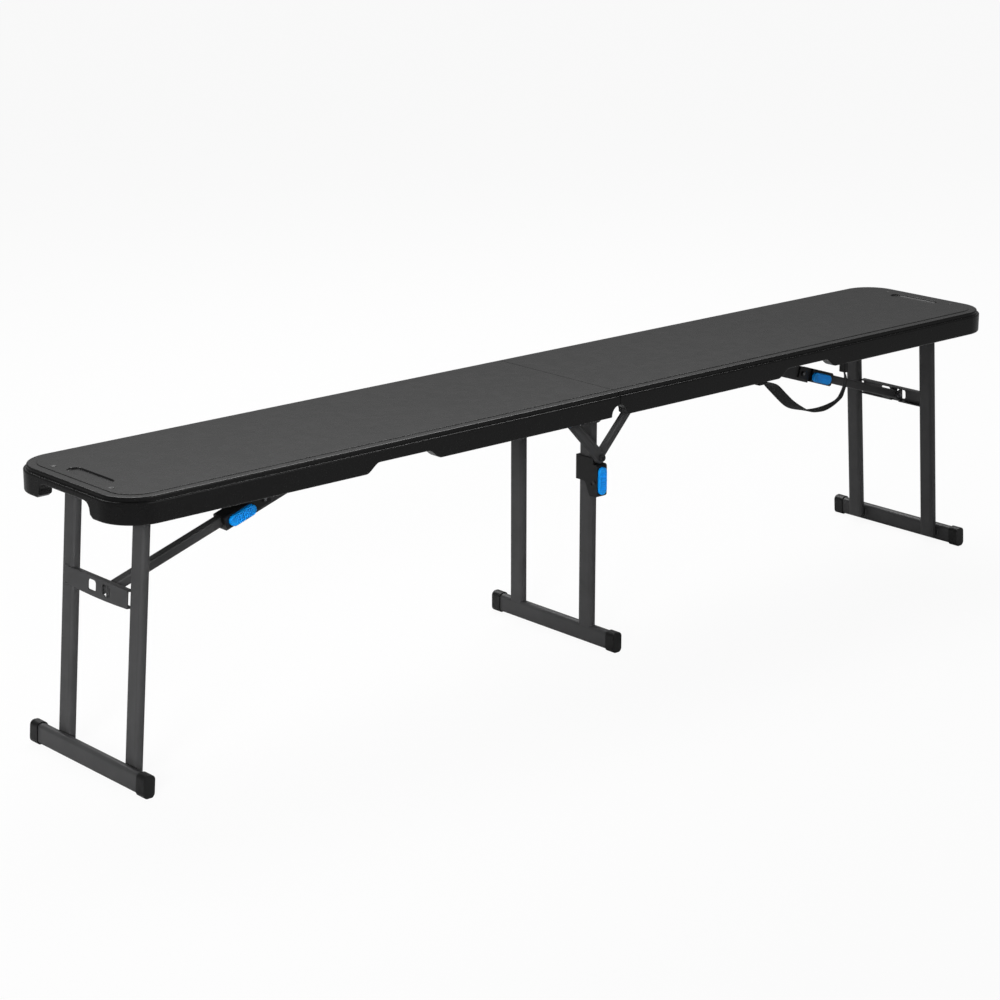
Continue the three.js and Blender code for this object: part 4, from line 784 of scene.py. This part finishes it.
def plate_from(name, along, across, drop, thickness, start, way):
    """A face seen from the front, its drop counted away from the viewer, with straight edges back to a flat
    back; along runs in the way's direction in x and z, across at right angles to it."""
    rows, columns = along.shape
    number = np.arange(rows * columns).reshape(rows, columns)
    rim = np.concatenate([number[:, 0], number[-2:0:-1, -1]])
    flat = np.stack([along, drop, across], -1).reshape(-1, 3)
    back = flat[rim] * (1, 0, 1) + (0, thickness, 0)
    flat = np.concatenate([flat, back])
    direction = np.array([way[0], 0, way[1]]) / math.hypot(*way)
    side = np.array([-direction[2], 0, direction[0]])
    points = start + flat[:, :1] * direction + flat[:, 1:2] * (0, 1, 0) + flat[:, 2:] * side
    first = rows * columns
    behind = first + np.arange(len(rim))
    edge = np.stack([rim, np.roll(rim, -1), np.roll(behind, -1), behind], 1).tolist()
    return surface(name, points, grid_faces(rows, columns) + edge + [behind.tolist()])


def corners_of(node):
    """Lowest and highest corner of a node, in millimetres."""
    low, high = (np.array(corner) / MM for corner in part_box(node))
    return low, high


def middle_of(node):
    """Middle of a node's box, in millimetres."""
    low, high = corners_of(node)
    return (low + high) / 2


def ribbed_lever(name, node, size, way, sunk=0):
    """A button with round ends: its face rolls over at the outline and waves in even ribs inside it, and lies
    as far behind the node's front as it is sunk."""
    low, high = corners_of(node)
    middle = middle_of(node)
    length, width = size
    reach = length - width
    along, across, inside = long_grid(reach, width / 2, width / 2, STEPS_PER_RIB * LEVER_RIBS)
    wave = (1 - np.cos(2 * math.pi * LEVER_RIBS * along / reach)) / 2
    ribbed = (along > 0) & (along < reach)
    ribs = RIB_DEPTH * wave * ribbed * ease((inside - LEVER_EDGE / 2) / LEVER_EDGE)
    drop = rolled(inside, LEVER_EDGE) + ribs
    direction = np.array([way[0], 0, way[1]]) / math.hypot(*way)
    front = low[1] + sunk
    start = np.array([middle[0], front, middle[2]]) - direction * reach / 2
    piece = plate_from(name, along, across, drop, high[1] - front, start, way)
    shade(piece, PRESSED_SHARP_ANGLE)
    settle(piece, NODE_BODY[node], [node], "blue_plastic", BLUE)


def pressed_strut(name, node, foot, head):
    """A strip between two eyes, as thick as the node: its edges roll back and a rib stands up along its
    middle, fading out at both ends."""
    low, high = corners_of(node)
    way = np.subtract(head, foot)
    length = math.hypot(*way)
    along, across, inside = long_grid(length, *STRUT_RADII, STRUT_STEPS)
    rib = ease((STRUT_RIB_HALF + STRUT_RIB_SLOPE - np.abs(across)) / STRUT_RIB_SLOPE)
    rib = rib * ease((along - STRUT_RIB_END) / STRUT_RIB_END)
    rib = rib * ease((length - STRUT_RIB_END - along) / STRUT_RIB_END)
    drop = STRUT_RIB_HEIGHT * (1 - rib) + rolled(inside, STRUT_EDGE)
    start = np.array([foot[0], low[1], foot[1]])
    piece = plate_from(name, along, across, drop, high[1] - low[1], start, way)
    shade(piece, PRESSED_SHARP_ANGLE)
    settle(piece, NODE_BODY[node], [node], NODE_SLOT[node], PAINT)


def places_of(piece):
    """The piece's points in millimetres, one row each."""
    places = np.empty(3 * len(piece.data.vertices))
    piece.data.vertices.foreach_get("co", places)
    return places.reshape(-1, 3) / MM


def shift(piece, x=0, y=0, z=0):
    """Moves each point by its own distances."""
    places = places_of(piece)
    places[:, 0] += x
    places[:, 1] += y
    places[:, 2] += z
    piece.data.vertices.foreach_set("co", (places * MM).ravel())
    piece.data.update()


def slim_body(piece, side):
    """Draws a lock body in to a thin rim round its lever: points below the lever move up and points beyond
    its outer end move inwards, both along the brace's own directions."""
    middle = middle_of(f"brace_{side}_lock_lever")[[0, 2]]
    turned = 1 if side == "right" else -1
    way = np.array([turned * BRACE_WAY[0], -BRACE_WAY[1]])
    up = np.array([turned * BRACE_WAY[1], BRACE_WAY[0]])
    flat = places_of(piece)[:, [0, 2]] - middle
    half_length, half_width = np.array(LEVER_SIZE) / 2
    moved = np.outer(np.where(flat @ up < -half_width - RIM_KEEP, BODY_SLIM, 0), up)
    moved -= np.outer(np.where(flat @ way > half_length + RIM_KEEP, BODY_SHORTER, 0), way)
    shift(piece, x=moved[:, 0], z=moved[:, 1])


def shorten_upright(piece, side):
    """Raises the points at the foot of an end leg's upright along the leg."""
    turned = 1 if side == "right" else -1
    raised = np.where(places_of(piece)[:, 2] < UPRIGHT_FOOT, UPRIGHT_CUT, 0)
    shift(piece, x=-turned * raised * math.sin(LEG_SPLAY), z=raised * math.cos(LEG_SPLAY))


def cross_recess(across, up):
    """How far inside a cross-shaped recess a place on a head of radius one lies."""
    one = np.abs(across + up) / math.sqrt(2)
    other = np.abs(across - up) / math.sqrt(2)
    return np.minimum(CROSS_HALF_SHARE - np.minimum(one, other), CROSS_REACH_SHARE - np.maximum(one, other))


def hex_recess(across, up):
    """How far inside a six-sided recess a place on a head of radius one lies."""
    turns = np.arange(3) * math.pi / 3
    return HEX_SHARE - np.abs(across[..., None] * np.cos(turns) + up[..., None] * np.sin(turns)).max(-1)


def screw(name, node, face, facing, sizes, recess, material, replace=False):
    """Rings round the head's axis: a flat face with its recess sunk in, a rolled edge, the upright rim, the
    underside and the shank behind it."""
    radius, height, shank, length = sizes
    edge = 1 - (1 - HEAD_FLAT_SHARE) * quarter(8)[1:, 0] ** 2
    shares = np.concatenate([np.linspace(0, HEAD_FLAT_SHARE, 26), edge])[:, None]
    turns = np.linspace(0, 2 * math.pi, HEAD_STATIONS, endpoint=False)
    across = shares * np.cos(turns)
    up = shares * np.sin(turns)
    depth = height - rolled(radius * (1 - shares), HEAD_EDGE)
    depth = depth - RECESS_SHARE * height * ease(recess(across, up) / RECESS_SOFT_SHARE)
    rings = np.stack([across * radius, up * radius, depth], -1)
    tail = np.array([(radius, 0), (shank, 0), (shank, -length)])
    wide = tail[:, :1]
    behind = np.stack(np.broadcast_arrays(wide * np.cos(turns), wide * np.sin(turns), tail[:, 1:]), -1)
    rings = np.concatenate([rings, behind])
    facing = np.array(facing, float)
    side = np.cross(facing, (0, 0, 1))
    points = face + rings[..., :1] * side + rings[..., 1:2] * (0, 0, 1) + rings[..., 2:] * facing
    rows, columns = rings.shape[:2]
    last = list(range((rows - 1) * columns, rows * columns))
    piece = surface(name, points.reshape(-1, 3), grid_faces(rows, columns, round_columns=True) + [last])
    shade(piece, HEAD_SHARP_ANGLE)
    settle(piece, NODE_BODY[node], [node] if replace else [], NODE_SLOT[node], material)


def in_leg(side, points):
    """Points of an end leg's own frame, x outwards and z up the leg from its pivot, in the bench's frame."""
    x, y, z = np.asarray(points, float).T
    out = LEG_PIVOT_X[side] + x * math.cos(LEG_SPLAY) - z * math.sin(LEG_SPLAY)
    high = LEG_PIVOT_Z + x * math.sin(LEG_SPLAY) + z * math.cos(LEG_SPLAY)
    turned = -1 if side == "left" else 1
    return np.stack([turned * out, turned * y, high], 1)


def weld_bead(name, side, start, stop):
    """A round bead carried along a straight line, rippled in even waves and drawn in at both ends."""
    share = np.linspace(0, 1, 40)[:, None]
    line = in_leg(side, np.array(start) * (1 - share) + np.array(stop) * share)
    way = line[-1] - line[0]
    length = np.linalg.norm(way)
    way /= length
    across = np.cross(way, ASKEW)
    across /= np.linalg.norm(across)
    run = share[:, 0] * length
    ripple = 1 - BEAD_RIPPLE * np.abs(np.sin(math.pi * run / BEAD_PITCH))
    drawn = np.sqrt(np.clip(np.minimum(run, length - run) / BEAD_RADIUS, BEAD_TIP_SHARE, 1))
    turns = np.linspace(0, 2 * math.pi, 12, endpoint=False)
    section = BEAD_RADIUS * np.stack([np.cos(turns), np.sin(turns)], 1)
    across = np.broadcast_to(across, line.shape)
    points, faces = swept(line, across, np.cross(way, across), section, ripple * drawn)
    piece = surface(name, points, faces)
    shade(piece, ROUND_SHARP_ANGLE)
    settle(piece, f"{side}_leg", [], "leg_steel", PAINT)


# Pieces
seat_half("left", -1)
seat_half("right", 1)
carry_strap()

OWN_SURFACE = ("seat_left", "seat_right", "carry_strap", "lock_button", "brace_left_lock_lever",
               "brace_right_lock_lever", "strut_left", "strut_right", "strut_bolt")

for node in sorted(set(frame["nodes"]) - set(OWN_SURFACE)):
    width = next((width for word, width in BEVEL.items() if word in node), PLAIN_BEVEL)
    segments = CAP_SEGMENTS if "foot_cap" in node else BEVEL_SEGMENTS
    material = DARK_STEEL if node == "lock_housing_screw" else SLOT_MATERIALS[NODE_SLOT[node]]
    piece = rounded_copy(node, width, segments, material)
    if node.endswith("_lock_body"):
        slim_body(piece, node.split("_")[1])
    elif node.startswith("leg_") and "_upright_" in node:
        shorten_upright(piece, node.split("_")[1])
    elif node == "strap_clip_outer":
        shift(piece, x=CLIP_SHIFT)
    elif node == "lock_housing":
        shift(piece, y=np.where(places_of(piece)[:, 1] < NOSE_FROM, NOSE_SHORTER, 0))
    elif node == "lock_housing_screw":
        shift(piece, y=-HOUSING_SCREW_FORWARD, z=HOUSING_SCREW_UP)
    elif node == "lock_spring":
        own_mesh(piece)

for name, way in (("left", BRACE_WAY), ("right", (BRACE_WAY[0], -BRACE_WAY[1]))):
    ribbed_lever(f"lever_{name}", f"brace_{name}_lock_lever", LEVER_SIZE, way)
    node = f"brace_{name}_lock_screw"
    x, _, z = middle_of(node)
    face = (x, corners_of(node)[0][1] + BODY_SCREW[1], z)
    screw(f"screw_head_{name}", node, face, (0, -1, 0), BODY_SCREW, cross_recess, DARK_STEEL)
ribbed_lever("lever_centre", "lock_button", BUTTON_SIZE, (0, 1), BUTTON_SUNK)

strut_foot = (0, STRUT_FOOT_Z)
for name, side in (("left", -1), ("right", 1)):
    pressed_strut(f"pressed_strut_{name}", f"strut_{name}", strut_foot, (side * STRUT_HEAD_X, STRUT_HEAD_Z))
strut_front = corners_of("strut_left")[0][1]
bolt_length = corners_of("strut_bolt")[1][1] - strut_front
screw("strut_bolt_head", "strut_bolt", (0, strut_front, STRUT_FOOT_Z), (0, -1, 0),
      (*STRUT_BOLT_HEAD, bolt_length), hex_recess, DARK_STEEL, replace=True)

UPRIGHT_SIDES = [end * UPRIGHT_Y + side * UPRIGHT_HALF for end in (-1, 1) for side in (-1, 1)]
for side in ("left", "right"):
    for number, y in enumerate(UPRIGHT_SIDES):
        weld_bead(f"foot_bead_{side}_{number + 1}", side, (BEAD_X, y, -FOOT_BAR_DROP - BEAD_REACH),
                  (BEAD_X, y, BEAD_REACH - FOOT_BAR_DROP))
    for number, z in enumerate((-PLATE_HALF, PLATE_HALF)):
        weld_bead(f"plate_bead_{side}_{number + 1}", side, (BEAD_X, LAP_FROM, z - PLATE_DROP),
                  (BEAD_X, LAP_TO, z - PLATE_DROP))


# Floor, light and camera
def floor():
    mesh = bpy.data.meshes.new("floor")
    corners = [(x * FLOOR_HALF, y * FLOOR_HALF, 0) for x, y in ((-1, -1), (1, -1), (1, 1), (-1, 1))]
    mesh.from_pydata(corners, [], [(0, 1, 2, 3)])
    ground = bpy.data.objects.new("floor", mesh)
    bpy.context.scene.collection.objects.link(ground)
    material = bpy.data.materials.new("floor")
    material.use_nodes = True
    tree = material.node_tree
    tree.nodes.clear()
    out = add_node(tree, "ShaderNodeOutputMaterial")
    diffuse = add_node(tree, "ShaderNodeBsdfDiffuse")
    diffuse.inputs["Color"].default_value = FLOOR_GREY
    glow = add_node(tree, "ShaderNodeEmission")
    glow.inputs["Color"].default_value = WHITE
    glow.inputs["Strength"].default_value = FLOOR_GLOW
    rays = add_node(tree, "ShaderNodeLightPath")
    share = math_node(tree, "MULTIPLY", rays.outputs["Is Camera Ray"], GLOW_SHARE)
    mix = add_node(tree, "ShaderNodeMixShader")
    tree.links.new(share, mix.inputs["Fac"])
    tree.links.new(diffuse.outputs[0], mix.inputs[1])
    tree.links.new(glow.outputs[0], mix.inputs[2])
    tree.links.new(mix.outputs[0], out.inputs["Surface"])
    mesh.materials.append(material)


def world():
    background = bpy.data.worlds.new("studio")
    bpy.context.scene.world = background
    background.use_nodes = True
    tree = background.node_tree
    tree.nodes.clear()
    out = add_node(tree, "ShaderNodeOutputWorld")
    rays = add_node(tree, "ShaderNodeLightPath").outputs
    seen = math_node(tree, "MAXIMUM", rays["Is Camera Ray"], rays["Is Transmission Ray"])
    plain = add_node(tree, "ShaderNodeBackground")
    plain.inputs["Strength"].default_value = WORLD_LIGHT
    white = add_node(tree, "ShaderNodeBackground")
    white.inputs["Color"].default_value = WHITE
    white.inputs["Strength"].default_value = WORLD_GLOW
    mix = add_node(tree, "ShaderNodeMixShader")
    tree.links.new(seen, mix.inputs["Fac"])
    tree.links.new(plain.outputs[0], mix.inputs[1])
    tree.links.new(white.outputs[0], mix.inputs[2])
    tree.links.new(mix.outputs[0], out.inputs["Surface"])


def lamp(name, place, target, size, power, beam=math.pi):
    data = bpy.data.lights.new(name, "AREA")
    data.shape = "RECTANGLE"
    data.size, data.size_y = size
    data.energy = power
    data.spread = beam
    made = bpy.data.objects.new(name, data)
    bpy.context.scene.collection.objects.link(made)
    made.location = place
    made.rotation_euler = (Vector(target) - Vector(place)).to_track_quat("-Z", "Y").to_euler()
    return made


def camera():
    yaw, pitch, roll = CAMERA_TURNS
    level = math.cos(pitch)
    forward = Vector((math.sin(yaw) * level, math.cos(yaw) * level, -math.sin(pitch)))
    right = forward.cross(Vector((0, 0, 1))).normalized()
    up = right.cross(forward)
    turned = right * math.cos(roll) + up * math.sin(roll)
    raised = up * math.cos(roll) - right * math.sin(roll)
    data = bpy.data.cameras.new("camera")
    data.sensor_width = SENSOR_WIDTH
    data.lens = CAMERA_FOCUS * SENSOR_WIDTH / PHOTO_WIDTH
    data.clip_end = CAMERA_REACH
    made = bpy.data.objects.new("camera", data)
    bpy.context.scene.collection.objects.link(made)
    basis = Matrix((turned, raised, -forward)).transposed()
    made.matrix_world = Matrix.Translation(Vector(CAMERA_PLACE)) @ basis.to_4x4()
    bpy.context.scene.camera = made


floor()
world()
lamps = {name: lamp(name, *values) for name, values in LAMPS.items()}

# The seat would mirror the low key lamp towards a viewer behind the bench, so it is left out of reflections
lamps["key"].visible_glossy = False
camera()
bpy.context.scene.view_settings.view_transform = "Standard"
